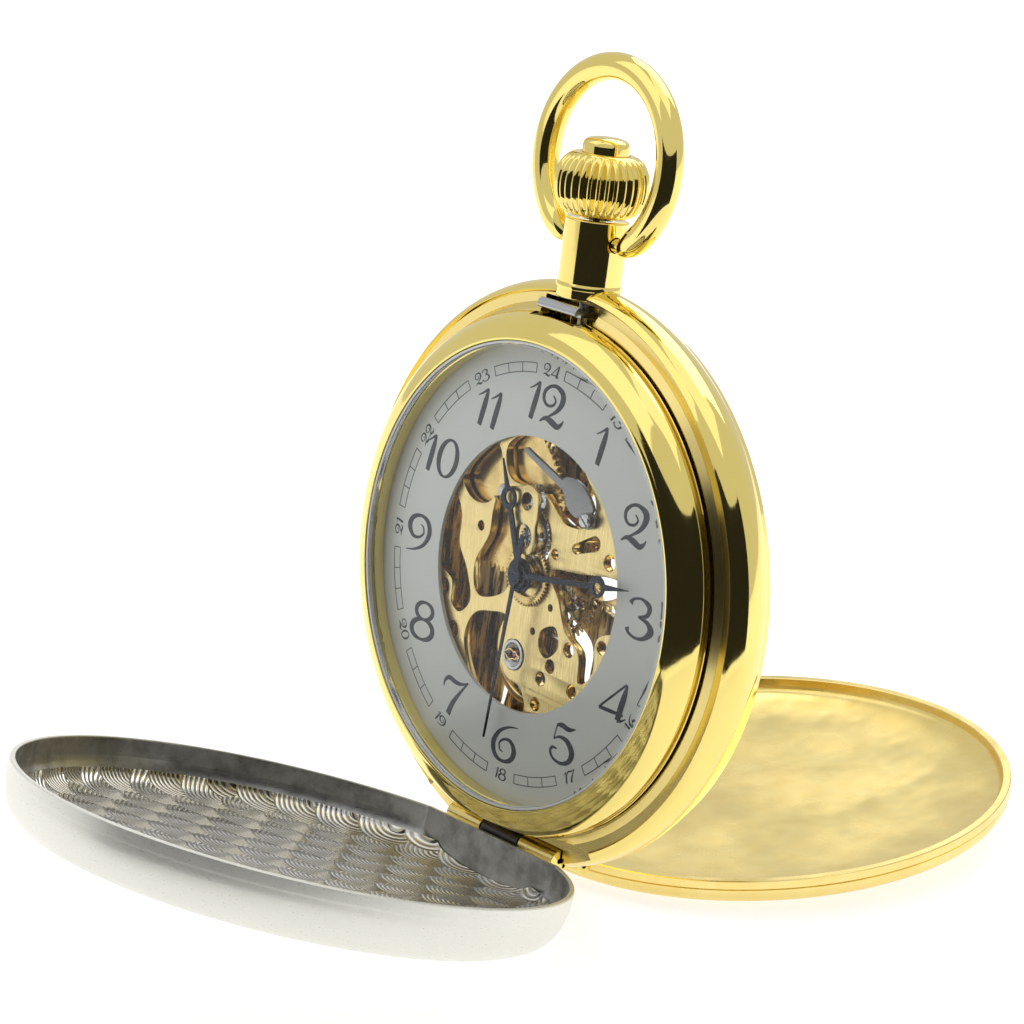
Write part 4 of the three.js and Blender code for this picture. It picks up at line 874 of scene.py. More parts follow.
NUMERALS = {
    "0": [oval((0.45, 0.5), (0.36, 0.5), 0.14, 0.05, 0.16)],
    "1": [[(0.4, 1.0, 0.05), (0.35, 0.74, 0.13), (0.27, 0.4, 0.15), (0.18, 0.02, 0.13)],
          [(0.02, 0.77, 0.02), (0.18, 0.85, 0.04), (0.39, 0.99, 0.06)]],
    "2": [[(0.44, 0.76, 0.03), (0.55, 0.64, 0.05), (0.46, 0.51, 0.06), (0.25, 0.48, 0.06), (0.1, 0.6, 0.08),
           (0.1, 0.8, 0.09), (0.28, 0.96, 0.07), (0.52, 1.0, 0.08), (0.77, 0.88, 0.13), (0.82, 0.68, 0.15),
           (0.68, 0.44, 0.1), (0.4, 0.24, 0.05), (0.04, 0.03, 0.03)],
          [(0.04, 0.04, 0.03), (0.24, 0.15, 0.09), (0.48, 0.1, 0.14), (0.72, 0.02, 0.12), (0.87, 0.11, 0.07),
           (0.93, 0.22, 0.02)]],
    "3": [[(0.1, 0.81, 0.13), (0.2, 0.94, 0.06), (0.48, 1.0, 0.06), (0.77, 0.87, 0.13), (0.72, 0.64, 0.1),
           (0.42, 0.54, 0.04)],
          [(0.42, 0.54, 0.04), (0.78, 0.46, 0.1), (0.9, 0.26, 0.16), (0.7, 0.06, 0.09), (0.4, 0.0, 0.06),
           (0.14, 0.08, 0.07), (0.07, 0.2, 0.13)]],
    "4": [[(0.93, 1.0, 0.05), (0.5, 0.62, 0.05), (0.03, 0.2, 0.05)],
          [(0.03, 0.2, 0.07), (0.45, 0.2, 0.08), (0.92, 0.2, 0.05)],
          [(0.96, 1.0, 0.05), (0.9, 0.7, 0.14), (0.82, 0.4, 0.16), (0.74, 0.03, 0.15)],
          [(0.73, 0.03, 0.08), (0.87, 0.05, 0.05), (1.02, 0.14, 0.02)]],
    "5": [[(0.21, 0.94, 0.05), (0.4, 0.97, 0.11), (0.66, 0.93, 0.1), (0.92, 1.0, 0.02)],
          [(0.23, 0.95, 0.04), (0.18, 0.76, 0.03), (0.14, 0.55, 0.03)],
          [(0.14, 0.55, 0.03), (0.36, 0.66, 0.06), (0.66, 0.61, 0.12), (0.87, 0.37, 0.16), (0.78, 0.12, 0.11),
           (0.5, 0.0, 0.07), (0.2, 0.05, 0.06), (0.06, 0.2, 0.07), (0.12, 0.33, 0.06), (0.3, 0.33, 0.03)]],
    "6": [SIX],
    "7": [[(0.03, 0.68, 0.03), (0.06, 0.85, 0.07), (0.22, 0.96, 0.1), (0.5, 0.9, 0.1), (0.78, 0.91, 0.06),
           (1.0, 1.0, 0.03)],
          [(1.0, 1.0, 0.04), (0.68, 0.62, 0.08), (0.45, 0.3, 0.13), (0.32, 0.0, 0.15)]],
    "8": [oval((0.5, 0.77), (0.34, 0.23), 0.12, 0.06, 0.1),
          oval((0.48, 0.27), (0.44, 0.27), 0.14, 0.06, 0.1)],
    "9": [[(0.97 - x, 1 - z, width) for x, z, width in SIX]],
}
ADVANCE = {"1": 0.52}  # the others take a full width
FULL_ADVANCE = 1.02


def lettering(text, height, at, turn_deg, weight, steps):
    """Raised printing of a number about a point, turned clockwise."""
    turn = Matrix.Rotation(-math.radians(turn_deg), 2)
    width = sum(ADVANCE.get(digit, FULL_ADVANCE) for digit in text) - 0.08
    left = -width / 2
    strokes = []
    for digit in text:
        for line in NUMERALS[digit]:
            placed = []
            for x, z, thick in line:
                spot = turn @ Vector(((left + x) * height, (z - 0.5) * height))
                placed.append((at[0] + spot.x, at[1] + spot.y, thick * height * weight))
            face_y = INK_Y - PROUD * len(strokes)
            strokes.append(ribbon(placed, (face_y, DIAL_FACE_Y + 0.02), steps, len(line) == OVAL_STEPS))
        left += ADVANCE.get(digit, FULL_ADVANCE)
    return strokes


def dial_point(r, degrees):
    """x and z of a point on the dial, by clock angle."""
    return r * math.sin(math.radians(degrees)), r * math.cos(math.radians(degrees))


def dial_numerals():
    strokes = []
    for hour in range(1, 13):
        strokes += lettering(str(hour), NUMERAL_HEIGHT, dial_point(NUMERAL_R, 30 * hour), 0, 1.25, 5)
    return merged(*strokes)


TRACK = {"r": 17.42, "half": 0.4, "line": 0.07, "from": 6, "to": 24, "cells": 3}


def twenty_four_hours():
    """The small numbers 13 to 24 and the railway boxes between them."""
    marks = []
    rails = (TRACK["r"] - TRACK["half"], TRACK["r"] + TRACK["half"])
    width = TRACK["to"] - TRACK["from"]

    def mark(spots, layer):
        line = [(*dial_point(r, clock), TRACK["line"]) for r, clock in spots]
        marks.append(ribbon(line, (INK_Y - PROUD * layer, DIAL_FACE_Y + 0.02), 0))

    for i in range(12):
        clock = 30 * (i + 1)
        turn = clock - 180 if 90 < clock < 260 else clock
        marks += lettering(str(13 + i), SMALL_NUMERAL_HEIGHT, dial_point(TRACK["r"], clock), turn, 1.3, 3)
        start = clock + TRACK["from"]
        for layer, r in enumerate(rails):
            mark([(r, start + width * j / 9) for j in range(10)], layer)
        for k in range(TRACK["cells"] + 1):
            mark([(r, start + width * k / TRACK["cells"]) for r in (rails[0], TRACK["r"], rails[1])], 2)
    return merged(*marks)


piece("dial_disc", washer(APERTURE_R, DIAL_R, (DIAL_FACE_Y, 0.42), sides=ROUND, edge=0.05), dial_face, "case",
      "dial_silver", ["dial"])
piece("dial_numerals", dial_numerals(), ink, "case", "dial_silver")
piece("dial_hour_track", twenty_four_hours(), ink, "case", "dial_silver")


# ---- Plates and bridges of the movement ----
CENTRE = (0, 0)
BARREL = arbor_of("barrel_turn")
THIRD = arbor_of("third_wheel_turn")
ESCAPE = arbor_of("escape_wheel_turn")
PALLET = arbor_of("pallet_fork_rock")
BALANCE = arbor_of("balance_swing")
MINUTE_WHEEL = arbor_of("minute_wheel_turn")
SETTING_WHEEL = arbor_of("setting_wheel_turn")
CROWN_WHEEL = arbor_of("crown_wheel_turn")
CLICK = arbor_of("click_lift")
PLATE_Y = (0.6, 1.4)
BARREL_BRIDGE_Y = (3.6, 4.15)
TRAIN_BRIDGE_Y = (4.0, 4.6)
WINDING_Y = (4.25, 4.65)  # the crown wheel and the ratchet
ARBOR_R = 0.25
ARBOR_HOLE_R = 0.33
SCREW_HOLE_R = 0.42
BARREL_SCREW = (-13.2, 5.5)
TRAIN_SCREWS = ((14.4, 3.6), (13.2, -4.2))
COCK_SCREW = (0.2, -14.2)
SETTING_SCREW = (6.8, 6.3)

PLATE_WINDOWS = [
    # beside 10 o'clock
    [(-10.3, 6.4), (-8.3, 8.8), (-6.5, 10.1), (-5.3, 8.4), (-5.9, 5.4), (-7.4, 4.5), (-9.2, 4.8)],
    # beside 9 o'clock, with the bottle-shaped slot below it
    [(-12.2, 4.2), (-10.6, 4.2), (-9.8, 2.6), (-9.7, 0.4), (-8.3, -1.6), (-7.4, -4.0), (-8.6, -5.4),
     (-9.8, -4.9), (-10.1, -3.0), (-12.3, -1.8), (-13, 1)],
    # between the arm and the centre
    [(-5.0, 6.7), (-3.0, 5.8), (-2.6, 3.6), (-2.3, 1.2), (-2.3, -0.9), (-3.6, -2.6), (-6.5, -3.3),
     (-7.3, -0.8), (-5.9, 2.0), (-5.7, 4.6)],
    # over the balance
    [(-7.5, -7.6), (-6.6, -5.1), (-4.2, -4.3), (-2.4, -4.2), (-2.3, -5.6), (-2.7, -7.3), (-1.6, -9.2),
     (0.5, -9.8), (1.2, -11.8), (-2.6, -12.3), (-5.8, -10.9)],
    # towards 3 o'clock, seen right through
    [(2.5, 0.9), (6.4, 1.6), (10.6, 2.2), (12.4, 1.2), (12.4, -1.6), (9.3, -3.1), (9.2, -6.1),
     (7.7, -7.4), (7.3, -5.0), (5.3, -3.6), (4.0, -1.2)],
    # keyless works, up to the winding pinion
    [(-4.9, 9.9), (-3.2, 11.6), (-2.4, 13.6), (2.4, 13.6), (4.6, 10.6), (7.0, 7.8), (6.2, 5.6),
     (3.9, 5.2), (2.4, 5.9), (0, 7.4), (-2.2, 7.2), (-4.2, 7.6)],
]
PLATE_HOLES = [
    ((-7.1, 2.55), 0.42), ((-11.2, -3.8), 0.8), ((-9.25, -7.2), 0.75), ((2.8, 2.45), 0.42),
    ((9.6, 3.35), 0.68), ((6.0, -5.0), 0.62), ((3.95, -6.95), 0.58), ((2.95, -8.3), 0.62),
    ((6.95, -8.3), 0.58), ((2.65, -10.6), 0.58), ((10.0, -3.75), 0.58),
]
D_WINDOW = [(2.3, -4.3), (4.0, -3.6), (4.6, -5.2), (3.3, -6.4), (2.3, -5.8)]


def mainplate():
    windows = [loop(points) for points in PLATE_WINDOWS]
    holes = [circle(r, at, 28) for at, r in PLATE_HOLES]
    slot = link((5.3, 3.5), (7.6, 4.5), 0.4, 0.62)
    plate = flat([circle(18.3, steps=120), *windows, *holes, loop(D_WINDOW), slot], PLATE_Y, 0.07)
    through = (0, 2)
    round_cuts = [
        (2.85, MINUTE_WHEEL, through), (1.6, SETTING_WHEEL, through), (1.15, CENTRE, (0, 0.97)),
        (0.7, CENTRE, through), (1.4, BALANCE, through), (0.83, BARREL, through),
        (ARBOR_HOLE_R, ESCAPE, through), (ARBOR_HOLE_R, PALLET, through),
    ]
    return cut(plate, *[rod(r, depths, at, 40, 0) for r, at, depths in round_cuts])


def holder_ring():
    stem_way = upright([(0, 8), (1.05, 8), (1.05, 22), (0, 22)])
    return cut(washer(18.45, 20.2, (0.5, 4.6), sides=ROUND, edge=0.1), stem_way)


def centre_bridge():
    outline = [(-1.9, 7.2), (-0.6, 7.6), (0.7, 7.0), (0.9, 5.4), (0.8, 4.2), (1.1, 2.9), (0.5, 1.9),
               (-0.6, 1.7), (-1.8, 2.2), (-2.0, 3.8), (-2.2, 5.4), (-3.3, 5.3), (-3.9, 6.0), (-3.2, 6.9)]
    holes = (circle(1.05, MINUTE_WHEEL), circle(0.75, SETTING_WHEEL))
    return merged(flat([loop(outline), *holes], (-0.15, 0.15), 0.06), rod(0.55, (0.12, 0.56), (-3.1, 6.0)))


def on_edge(_centre, normal):
    """The bright bevels and sawn walls of a flat piece."""
    return abs(normal.y) < 0.95


def under_bridge(_centre, normal):
    """A bridge's underside, and its sawn walls, which take the brass with painted shade and streaks of
    painted reflection.
    """
    return normal.y < 0.95


def plate_piece(name, bm, node, second=(bright_brass, on_edge)):
    piece(name, bm, brushed_brass, "case", "brushed_brass", [node], second=second)


plate_piece("skeleton_mainplate", mainplate(), "mainplate")
plate_piece("movement_holder_ring", holder_ring(), "movement_ring")
plate_piece("centre_bridge_plate", centre_bridge(), "centre_bridge")

BRIDGES = {  # outline, openings, depths and bevel
    "barrel_bridge": (
        [(-15.6, 8.2), (-11.5, 13.4), (-4.0, 17.0), (-2.5, 14.0), (-2.4, 11.6), (1.8, 11.6), (3.2, 9.0),
         (1.6, 5.8), (-1.2, 4.0), (-3.9, 1.6), (-5.4, -1.4), (-5.0, -5.2), (-5.4, -9.4), (-6.0, -13.8),
         (-8.4, -14.8), (-11.4, -13.0), (-12.6, -10.2), (-15.6, -7.2), (-16.9, -1.6)],
        [circle(0.83, BARREL), circle(0.45, CROWN_WHEEL), circle(1.4, (-9.8, 10.4)),
         circle(SCREW_HOLE_R, BARREL_SCREW)], BARREL_BRIDGE_Y, 0.07),
    "train_bridge": (
        [(-1.3, 1.2), (1.2, 2.2), (3.9, 5.6), (6.4, 6.0), (8.6, 5.2), (16.2, 5.4), (17.0, 0.5),
         (16.2, -5.2), (13.4, -8.6), (8.4, -11.4), (5.3, -9.2), (5.2, -5.6), (4.0, -4.2), (2.0, -3.4),
         (0, -1.8), (-1.4, -0.6)],
        [loop([(4.2, 2.3), (7.6, 2.6), (11.4, 2.2), (11.6, -1.6), (8.0, -2.2), (5.0, -1.0)]),
         circle(ARBOR_HOLE_R), circle(ARBOR_HOLE_R, THIRD), circle(ARBOR_HOLE_R, ESCAPE),
         *[circle(SCREW_HOLE_R, at) for at in TRAIN_SCREWS]], TRAIN_BRIDGE_Y, 0.07),
    "balance_cock": (
        [(-2.2, -6.0), (-0.6, -5.5), (0.8, -6.4), (3.2, -8.6), (5.0, -11.6), (5.0, -15.4), (0.4, -17.0),
         (-5.2, -15.6), (-5.0, -11.8), (-3.8, -8.6)],
        [circle(ARBOR_HOLE_R, BALANCE), circle(SCREW_HOLE_R, COCK_SCREW)], TRAIN_BRIDGE_Y, 0.07),
    "pallet_bridge": (
        [(0.4, -4.2), (1.3, -3.9), (2.2, -4.5), (5.6, -8.2), (4.8, -9.4), (3.6, -8.8), (1.0, -5.5)],
        [circle(ARBOR_HOLE_R, PALLET)], (2.02, 2.2), 0.04),
}
for name, (outline, openings, depths, edge) in BRIDGES.items():
    bridge = flat([loop(outline), *openings], depths, edge)
    plate_piece(name + "_plate", bridge, name, (brass_painted_shade, under_bridge))


def setting_lever():
    depths = (0.15, 0.45)
    blade = flat([link((-1.9, 10.3), (3.6, 8.3), 0.25, 0.35)], depths)
    head = flat([loop([(3.1, 8.9), (4.6, 9.3), (6.2, 8.6), (7.3, 7.2), (5.5, 6.2), (4.0, 6.9)])], depths)
    lug = flat([circle(0.75, SETTING_SCREW)], depths)
    return cut(joined(head, blade, lug), rod(0.33, (0, 1), SETTING_SCREW, edge=0))


def screw(at, slot_deg, head_y=5.05, tail_y=1.5, head_r=0.8, head_h=0.4):
    """A slotted screw with a polished, chamfered head."""
    way = 1 if head_y > tail_y else -1
    shank_r, under_y = head_r * 0.5, head_y - way * head_h
    profile = [(0, head_y), (head_r * 0.86, head_y), (head_r, head_y - way * 0.1), (head_r, under_y),
               (shank_r, under_y), (shank_r, tail_y), (0, tail_y)]
    body = turned(rounded(profile, 0.03, 2), 32, at)
    slot = block((at[0] - 1.3 * head_r, at[0] + 1.3 * head_r), (head_y - 0.17, head_y + 0.17),
                 (at[1] - 0.1, at[1] + 0.1), 0)
    return cut(body, about(slot, slot_deg, at))


steel_piece("setting_lever_plate", setting_lever(), "case", "setting_lever_spring", soft_steel)
for name, made in (
    ("barrel_bridge_screw", screw(BARREL_SCREW, 30, 4.6)),
    ("train_bridge_screw_1", screw(TRAIN_SCREWS[0], 75)),
    ("train_bridge_screw_2", screw(TRAIN_SCREWS[1], 12)),
    ("balance_cock_screw", screw(COCK_SCREW, 50)),
    ("setting_spring_screw", screw(SETTING_SCREW, 35, -0.3, 0.5, 0.62, 0.35)),
    ("case_screw_1", screw((-13.7, -11.25), 100, head_r=1.0)),
    ("case_screw_2", screw((13.7, -11.25), 65, head_r=1.0)),
):
    steel_piece(name + "_body", made, "case", name)


def lyre_spring():
    """The gold spring that holds the jewel in its setting."""
    x, z = BALANCE
    half = [(0.95, 0.06), (0.6, 0.12), (0.42, 0.34), (0.12, 0.3), (-0.3, 0.46), (-0.62, 0.32), (-0.9, 0.1)]
    upper = [(x + a, z + b, 0.09) for a, b in half]
    lower = [(x + a, z - b, 0.09) for a, b in half]
    return merged(ribbon(upper, (0.44, 0.52)), ribbon(lower, (0.45, 0.53)))


CHATON = [(0.5, 1.1), (0.62, 0.72), (0.95, 0.6), (1.05, 0.5), (1.32, 0.5), (1.32, 1.35), (0.5, 1.35)]
STONE = [(0, 0.66), (0.26, 0.7), (0.42, 0.84), (0.42, 1.2), (0, 1.2)]
steel_piece("jewel_setting", turned(rounded(CHATON, 0.04), 48, BALANCE), "case", "balance_setting")
piece("jewel_stone", turned(rounded(STONE, 0.04), 32, BALANCE), red_stone, "case", "ruby", ["balance_jewel"])
piece("jewel_lyre_spring", lyre_spring(), bright_brass, "case", "brushed_brass")


# ---- Wheels ----
TOOTH = ((-0.32, -0.45), (-0.1, 0.3), (0.1, 0.3), (0.32, -0.45))  # (turn, height), in pitches
ESCAPE_TEETH = 15
WINDING_LEAVES = 16
Gear = namedtuple("Gear", "teeth r tooth_at at")  # its pitch radius, and the angle of one tooth


def meshing(teeth, at, other_teeth, other):
    """Two wheels in mesh: a tooth of the first stands in a gap of the second."""
    dx, dz = other[0] - at[0], other[1] - at[1]
    each = math.hypot(dx, dz) / (teeth + other_teeth)
    angle = math.atan2(dz, dx)
    gap_at = angle + math.pi + math.pi / other_teeth
    return Gear(teeth, each * teeth, angle, at), Gear(other_teeth, each * other_teeth, gap_at, other)


def arms(outer_r, hub_r, count, half_width, at=CENTRE):
    """The openings between a wheel's arms."""
    near = math.degrees(math.asin(half_width / hub_r))
    far = math.degrees(math.asin(half_width / outer_r))
    holes = []
    for i in range(count):
        start, end = 360 * i / count, 360 * (i + 1) / count
        holes.append([*arc_points(at, outer_r, start + far, end - far, 14),
                      *arc_points(at, hub_r, end - near, start + near, 8)])
    return holes


def toothed(gear, depths, edge=0.025, openings=()):
    pitch = TURN * gear.r / gear.teeth
    outline = [polar(gear.at, gear.tooth_at + TURN * (i + turn) / gear.teeth, gear.r + height * pitch)
               for i in range(gear.teeth) for turn, height in TOOTH]
    return flat([outline, *openings], depths, edge, 1)


def spoked(gear, depths):
    inner = gear.r - 0.45 * TURN * gear.r / gear.teeth - 0.5
    return toothed(gear, depths, openings=arms(inner, 0.9, 4, 0.22, gear.at))


barrel, centre_pinion = meshing(72, BARREL, 12, CENTRE)
centre, third_pinion = meshing(64, CENTRE, 8, THIRD)
third, fourth_pinion = meshing(60, THIRD, 8, CENTRE)
fourth, escape_pinion = meshing(60, CENTRE, 6, ESCAPE)
cannon, minute = meshing(12, CENTRE, 36, MINUTE_WHEEL)
minute_pinion, hour = meshing(12, MINUTE_WHEEL, 48, CENTRE)
crown_wheel, ratchet = meshing(24, CROWN_WHEEL, 36, BARREL)
setting = Gear(20, 1.3, 0, SETTING_WHEEL)


def barrel_drum():
    drum = joined(toothed(barrel, (1.6, 1.95)), washer(5.85, 6.15, (1.8, 2.9), BARREL, 96))
    return cut(drum, rod(0.83, (1, 3), BARREL, 32, 0))


def coil(at, r0, r1, width, depths):
    turns, steps = 7, 196
    spots = [polar(at, TURN * turns * i / steps, r0 + (r1 - r0) * i / steps) for i in range(steps + 1)]
    return ribbon([(*spot, width) for spot in spots], depths, 0)


def centre_wheel():
    return merged(washer(0.33, 0.62, (-0.85, 3.3), sides=32, edge=0.03), spoked(centre, (3.0, 3.15)),
                  toothed(centre_pinion, (1.55, 2.1)), toothed(cannon, (0.6, 0.9)))


def third_wheel():
    return merged(rod(ARBOR_R, (1.5, 4.55), THIRD), spoked(third, (3.35, 3.5)),
                  toothed(third_pinion, (2.9, 3.3)))


def fourth_wheel():
    return merged(rod(ARBOR_R, (-1.05, 4.55)), spoked(fourth, (3.65, 3.8)),
                  toothed(fourth_pinion, (3.34, 3.62)))


brass_piece("barrel_drum", barrel_drum(), "barrel", "barrel")
brass_piece("barrel_lid", washer(1.0, 5.7, (2.62, 2.85), BARREL, 96), "barrel", "barrel_cover")
steel_piece("barrel_axle", rod(0.75, (1.0, 4.2), BARREL, 32), "ratchet", "barrel_arbor")
steel_piece("mainspring_strip", coil(BARREL, 1.5, 5.3, 0.14, (2.05, 2.5)), "barrel", "mainspring", grey_steel)
piece("hairspring_strip", coil(BALANCE, 0.5, 2.0, 0.045, (3.3, 3.5)), blued_steel, "case", "dark_steel",
      ["hairspring"])
brass_piece("centre_wheel_set", centre_wheel(), "minute_hand", "centre_wheel")
brass_piece("third_wheel_set", third_wheel(), "third_wheel", "third_wheel")
brass_piece("fourth_wheel_set", fourth_wheel(), "seconds_hand", "fourth_wheel")


def escape_wheel():
    """Club teeth, all leaning one way."""
    club = ((1.75, 0), (1.9, 0.22), (2.3, 0.5), (2.3, 0.72), (1.95, 0.62))
    outline = [polar(ESCAPE, TURN * (i + turn) / ESCAPE_TEETH, r)
               for i in range(ESCAPE_TEETH) for r, turn in club]
    return merged(flat([outline, *arms(1.45, 0.6, 4, 0.16, ESCAPE)], (1.7, 1.88), 0.02, 1),
                  rod(0.2, (1.0, 4.55), ESCAPE), toothed(escape_pinion, (3.55, 3.9)))


def pallet_fork():
    to_balance = math.atan2(BALANCE[1] - PALLET[1], BALANCE[0] - PALLET[0])
    from_wheel = math.atan2(PALLET[1] - ESCAPE[1], PALLET[0] - ESCAPE[0])
    outlines = [link(PALLET, polar(ESCAPE, from_wheel + turn, 2.72), 0.28, 0.18) for turn in (0.66, -0.66)]
    outlines.append(link(PALLET, polar(PALLET, to_balance, 2.2), 0.26, 0.18))
    outlines += [link(polar(PALLET, to_balance, 2.1), polar(PALLET, to_balance + turn, 2.7), 0.15, 0.09)
                 for turn in (0.13, -0.13)]
    bars = [flat([outline], (1.73, 1.87), 0.02, 1) for outline in outlines]
    return merged(joined(*bars), rod(0.22, (1.0, 2.19), PALLET))


def balance():
    x, z = BALANCE
    rim = washer(3.85, 4.4, (2.3, 2.7), BALANCE, 96, 0.06)
    arm = block((x - 4.1, x + 4.1), (2.38, 2.62), (z - 0.28, z + 0.28), 0.04)
    staff = [(0, 1.25), (0.1, 1.3), (0.14, 1.7), (0.25, 1.8), (0.25, 2.24), (0.55, 2.24), (0.55, 2.9),
             (0.25, 2.9), (0.25, 4.0), (0.1, 4.2), (0, 4.55)]
    return merged(rim, about(arm, -35, BALANCE), turned(rounded(staff, 0.03, 2), 24, BALANCE))


def minute_wheel():
    return merged(toothed(minute, (0.65, 0.85), 0.02, arms(1.7, 0.55, 5, 0.16, MINUTE_WHEEL)),
                  toothed(minute_pinion, (0.2, 0.5)), rod(ARBOR_R, (-0.1, 1.4), MINUTE_WHEEL))


def hour_wheel():
    openings = [*arms(hour.r - 0.75, 1.2, 3, 0.3), circle(0.72)]
    return merged(toothed(hour, (0.25, 0.45), 0.02, openings), washer(0.7, 1.0, (-0.6, 0.4), sides=32))


def setting_wheel():
    return merged(toothed(setting, (0.95, 1.15)), rod(ARBOR_R, (0.3, 1.35), SETTING_WHEEL))


def crown_wheel_on_stud():
    return merged(toothed(crown_wheel, WINDING_Y, 0.05), rod(0.37, (3.65, 4.3), CROWN_WHEEL))


def ratchet_wheel():
    return cut(toothed(ratchet, WINDING_Y, 0.05), rod(0.42, (4, 5), BARREL, edge=0))


def winding_pinion():
    """The pinion on the stem, with leaves that reach up between the crown wheel's teeth."""
    offset = (math.pi / 2 - crown_wheel.tooth_at) / (TURN / crown_wheel.teeth)
    phase = offset - round(offset)
    r = crown_wheel.r * WINDING_LEAVES / crown_wheel.teeth
    leaf = ((-0.05, 0.44), (-0.05, 0.56), (-0.3, 0.74), (-0.3, 1.26))
    outline = [polar(CENTRE, math.pi / 2 + (i + turn - phase) * TURN / WINDING_LEAVES, r + height)
               for i in range(WINDING_LEAVES) for height, turn in leaf]
    stand = Matrix.Translation((0, STEM_Y, 12.675)) @ Matrix.Rotation(-math.pi / 2, 4, "X")
    return moved(flat([outline, circle(1.0)], (-0.525, 0.525), 0.03, 1), stand)


def click_pawl():
    to_tip = math.atan2(BARREL[1] - CLICK[1], BARREL[0] - CLICK[0]) - 0.5
    return merged(flat([link(CLICK, polar(CLICK, to_tip, 1.95), 0.65, 0.22)], (4.25, 4.55)),
                  rod(0.3, (4.2, 4.7), CLICK))


steel_piece("escape_wheel_set", escape_wheel(), "escape_wheel", "escape_wheel")
steel_piece("pallet_fork_bars", pallet_fork(), "pallet_fork", "pallet_fork")
brass_piece("balance_wheel_rim", balance(), "balance", "balance_wheel", bright_brass)
steel_piece("minute_wheel_set", minute_wheel(), "minute_wheel", "minute_wheel")
steel_piece("hour_wheel_set", hour_wheel(), "hour_hand", "hour_wheel", wheel_brass)
steel_piece("setting_wheel_set", setting_wheel(), "setting_wheel", "setting_wheel")
steel_piece("crown_wheel_set", crown_wheel_on_stud(), "crown_wheel", "crown_wheel", soft_steel)
steel_piece("ratchet_wheel_set", ratchet_wheel(), "ratchet", "ratchet_wheel", soft_steel)
steel_piece("ratchet_screw_body", screw(BARREL, 20, 5.1, 4.27, 0.75), "ratchet", "ratchet_screw")
steel_piece("winding_pinion_leaves", winding_pinion(), "winding_pinion", "winding_pinion")
steel_piece("click_pawl", click_pawl(), "click", "click")


# ---- Hands ----
def hand(hub_r, stem, ring_at, ring_r, hole_r, tip, bore_r, depths, degrees):
    """A Breguet hand with an off-centre pierced ring near its tip, turned to its time."""
    def half_width(z):
        if z < ring_at:
            wide = stem * (1 - 0.25 * max(z, 0) / ring_at)
        else:
            wide = 0.32 * (tip - z) / (tip - ring_at) + 0.03
        for centre_z, r in ((0, hub_r), (ring_at, ring_r)):
            if abs(z - centre_z) < r:
                wide = max(wide, math.sqrt(r * r - (z - centre_z) ** 2))
        return wide

    steps = 150
    start = -hub_r + 0.01
    side = []
    for i in range(steps + 1):
        z = start + (tip - start) * i / steps
        side.append((half_width(z), z))
    outline = [*side, *[(-x, z) for x, z in side[::-1]]]
    holes = (circle(hole_r, (0.12, ring_at + 0.05), 28), circle(bore_r, steps=32))
    return about(flat([outline, *holes], depths, 0.03), degrees)


def seconds_hand():
    blade = [(-0.28, -3.6), (0.28, -3.6), (0.1, 14.6), (-0.1, 14.6)]
    return merged(about(flat([blade], (-1.08, -0.96), 0.025, 1), 186), washer(0.05, 0.75, (-1.12, -0.9)))


HOUR_HAND_DEG = 336.8
MINUTE_HAND_DEG = 81.1
for name, shape in (
    ("hour_hand", hand(1.5, 0.36, 6.6, 0.98, 0.52, 10.0, 1.05, (-0.6, -0.42), HOUR_HAND_DEG)),
    ("minute_hand", hand(1.15, 0.3, 10.2, 0.92, 0.47, 14.0, 0.66, (-0.85, -0.68), MINUTE_HAND_DEG)),
    ("seconds_hand", seconds_hand()),
):
    piece(name + "_blade", shape, blued_steel, name, "dark_steel", [name])


# ---- Studio ----
CAMERA_AZIMUTH = 0.859074936
CAMERA_ELEVATION = 0.219557634
CAMERA_ROLL = 0.124052117
CAMERA_DISTANCE = 302.8  # millimetres from the dial's centre
LENS_MM = 126.56  # on a 36 mm sensor
SHIFT = (-0.0159, 0.0612)
TENT_LIGHT = 0.7  # what the white tent round the watch sends to it
AIM_Z = 0.03  # metres above the floor


def bearing(azimuth, elevation):
    """Direction towards a place that is seen at an azimuth and an elevation."""
    level = math.cos(elevation)
    return Vector((math.sin(azimuth) * level, -math.cos(azimuth) * level, math.sin(elevation)))


def camera():
    """The view from in front on the right, in the watch's frame, with a little roll."""
    back = bearing(CAMERA_AZIMUTH, CAMERA_ELEVATION)
    level = Vector((math.cos(CAMERA_AZIMUTH), math.sin(CAMERA_AZIMUTH), 0))
    rise = back.cross(level)
    sine, cosine = math.sin(CAMERA_ROLL), math.cos(CAMERA_ROLL)
    turn = Matrix((level * cosine + rise * sine, rise * cosine - level * sine, back)).transposed().to_4x4()
    lean = (WATCH @ Matrix.Scale(1 / MM, 4)).to_quaternion().to_matrix().to_4x4()
    data = bpy.data.cameras.new("camera")
    data.lens = LENS_MM
    data.sensor_width = 36
    data.shift_x, data.shift_y = SHIFT
    data.clip_start = 0.01
    made = bpy.data.objects.new("camera", data)
    made.matrix_world = Matrix.Translation(WATCH @ (back * CAMERA_DISTANCE)) @ lean @ turn
    bpy.context.scene.collection.objects.link(made)
    bpy.context.scene.camera = made


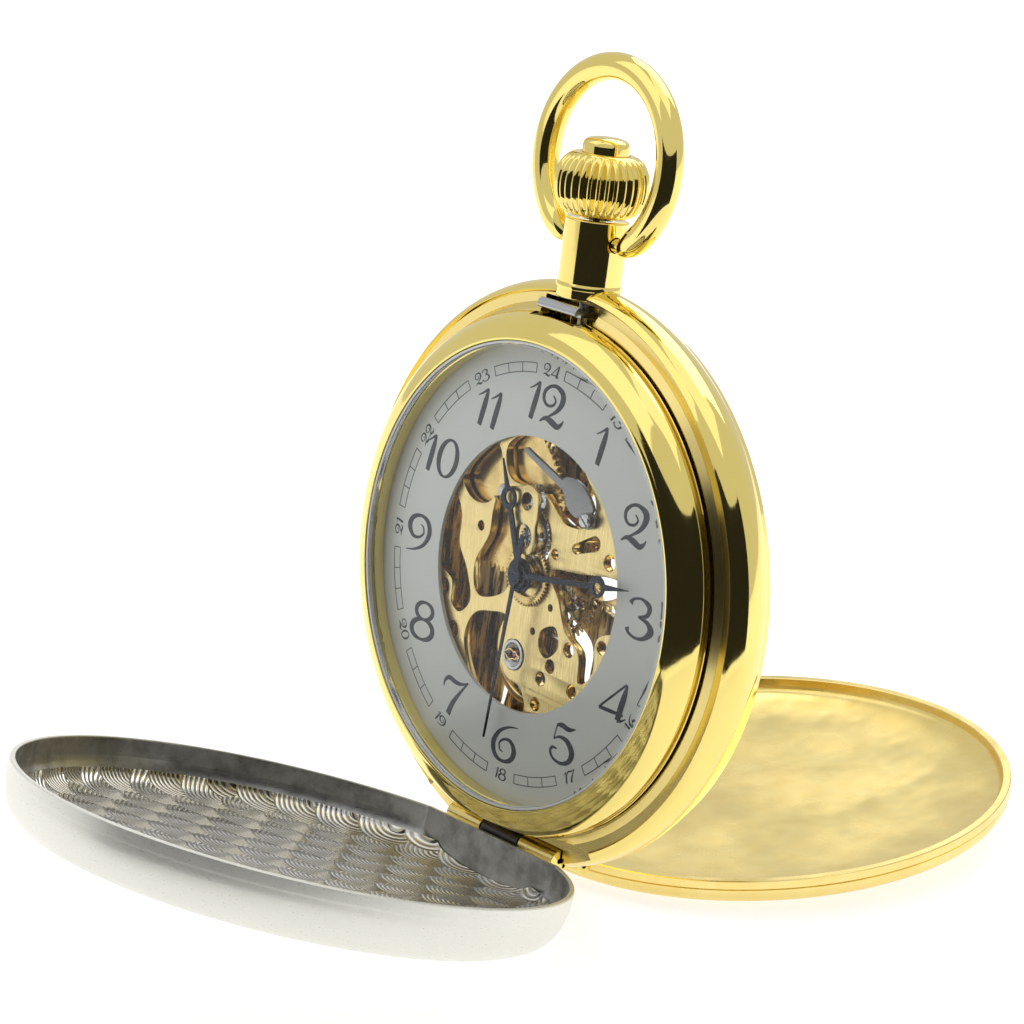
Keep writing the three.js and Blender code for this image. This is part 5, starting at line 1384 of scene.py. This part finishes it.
def studio():
    world = bpy.data.worlds.new("studio")
    bpy.context.scene.world = world
    world.use_nodes = True
    nodes, links = world.node_tree.nodes, world.node_tree.links
    sky = nodes["Background"]
    sky.inputs["Color"].default_value = (1, 1, 1, 1)
    strength = nodes.new("ShaderNodeMapRange")
    links.new(nodes.new("ShaderNodeLightPath").outputs["Is Camera Ray"], strength.inputs["Value"])
    strength.inputs["To Min"].default_value = TENT_LIGHT
    strength.inputs["To Max"].default_value = 1.0
    links.new(strength.outputs["Result"], sky.inputs["Strength"])
    bpy.context.scene.view_settings.view_transform = "Standard"
    floor = object_of(block((-3000, 3000), (-3000, 3000), (-2, 0), 0), "floor")
    floor.data.transform(Matrix.Scale(MM, 4))
    pale = Paint("pale_floor", (0.5, 0.5, 0.5), 0.9, 0.0, Emission_Color=(1, 1, 1, 1), Emission_Strength=0.72)
    floor.data.materials.append(pale.material)


def lamp(name, azimuth_deg, elevation_deg, distance, size, watts):
    """A square soft light aimed at the watch."""
    back = bearing(math.radians(azimuth_deg), math.radians(elevation_deg))
    data = bpy.data.lights.new(name, "AREA")
    data.size = size
    data.energy = watts
    made = bpy.data.objects.new(name, data)
    made.location = back * distance + Vector((0, 0, AIM_Z))
    made.rotation_mode = "QUATERNION"
    made.rotation_quaternion = back.to_track_quat("Z", "Y")
    bpy.context.scene.collection.objects.link(made)


def dark_card(name, azimuths_deg, elevations_deg, distance):
    """A black card behind the camera, seen only in reflections."""
    bm = bmesh.new()
    steps = 16
    columns = []
    for i in range(steps + 1):
        a = math.radians(azimuths_deg[0] + (azimuths_deg[1] - azimuths_deg[0]) * i / steps)
        heights = [AIM_Z + distance * math.tan(math.radians(degrees)) for degrees in elevations_deg]
        columns.append([bm.verts.new((distance * math.sin(a), -distance * math.cos(a), z)) for z in heights])
    for left, right in zip(columns, columns[1:]):
        bm.faces.new((left[0], right[0], right[1], left[1]))
    card = object_of(bm, name)
    card.data.materials.append(Paint("black_card", (0.004, 0.004, 0.004), 0.9, 0.0).material)
    card.visible_camera = False
    card.visible_shadow = False


camera()
studio()
dark_card("studio_card", (-12, 107), (-14, 33), 0.1)
lamp("soft_key", -30, 55, 0.7, 0.6, 0.6)
lamp("soft_top", 120, 75, 0.7, 0.5, 0.4)
lamp("soft_back", 200, 50, 0.6, 0.5, 1.3)
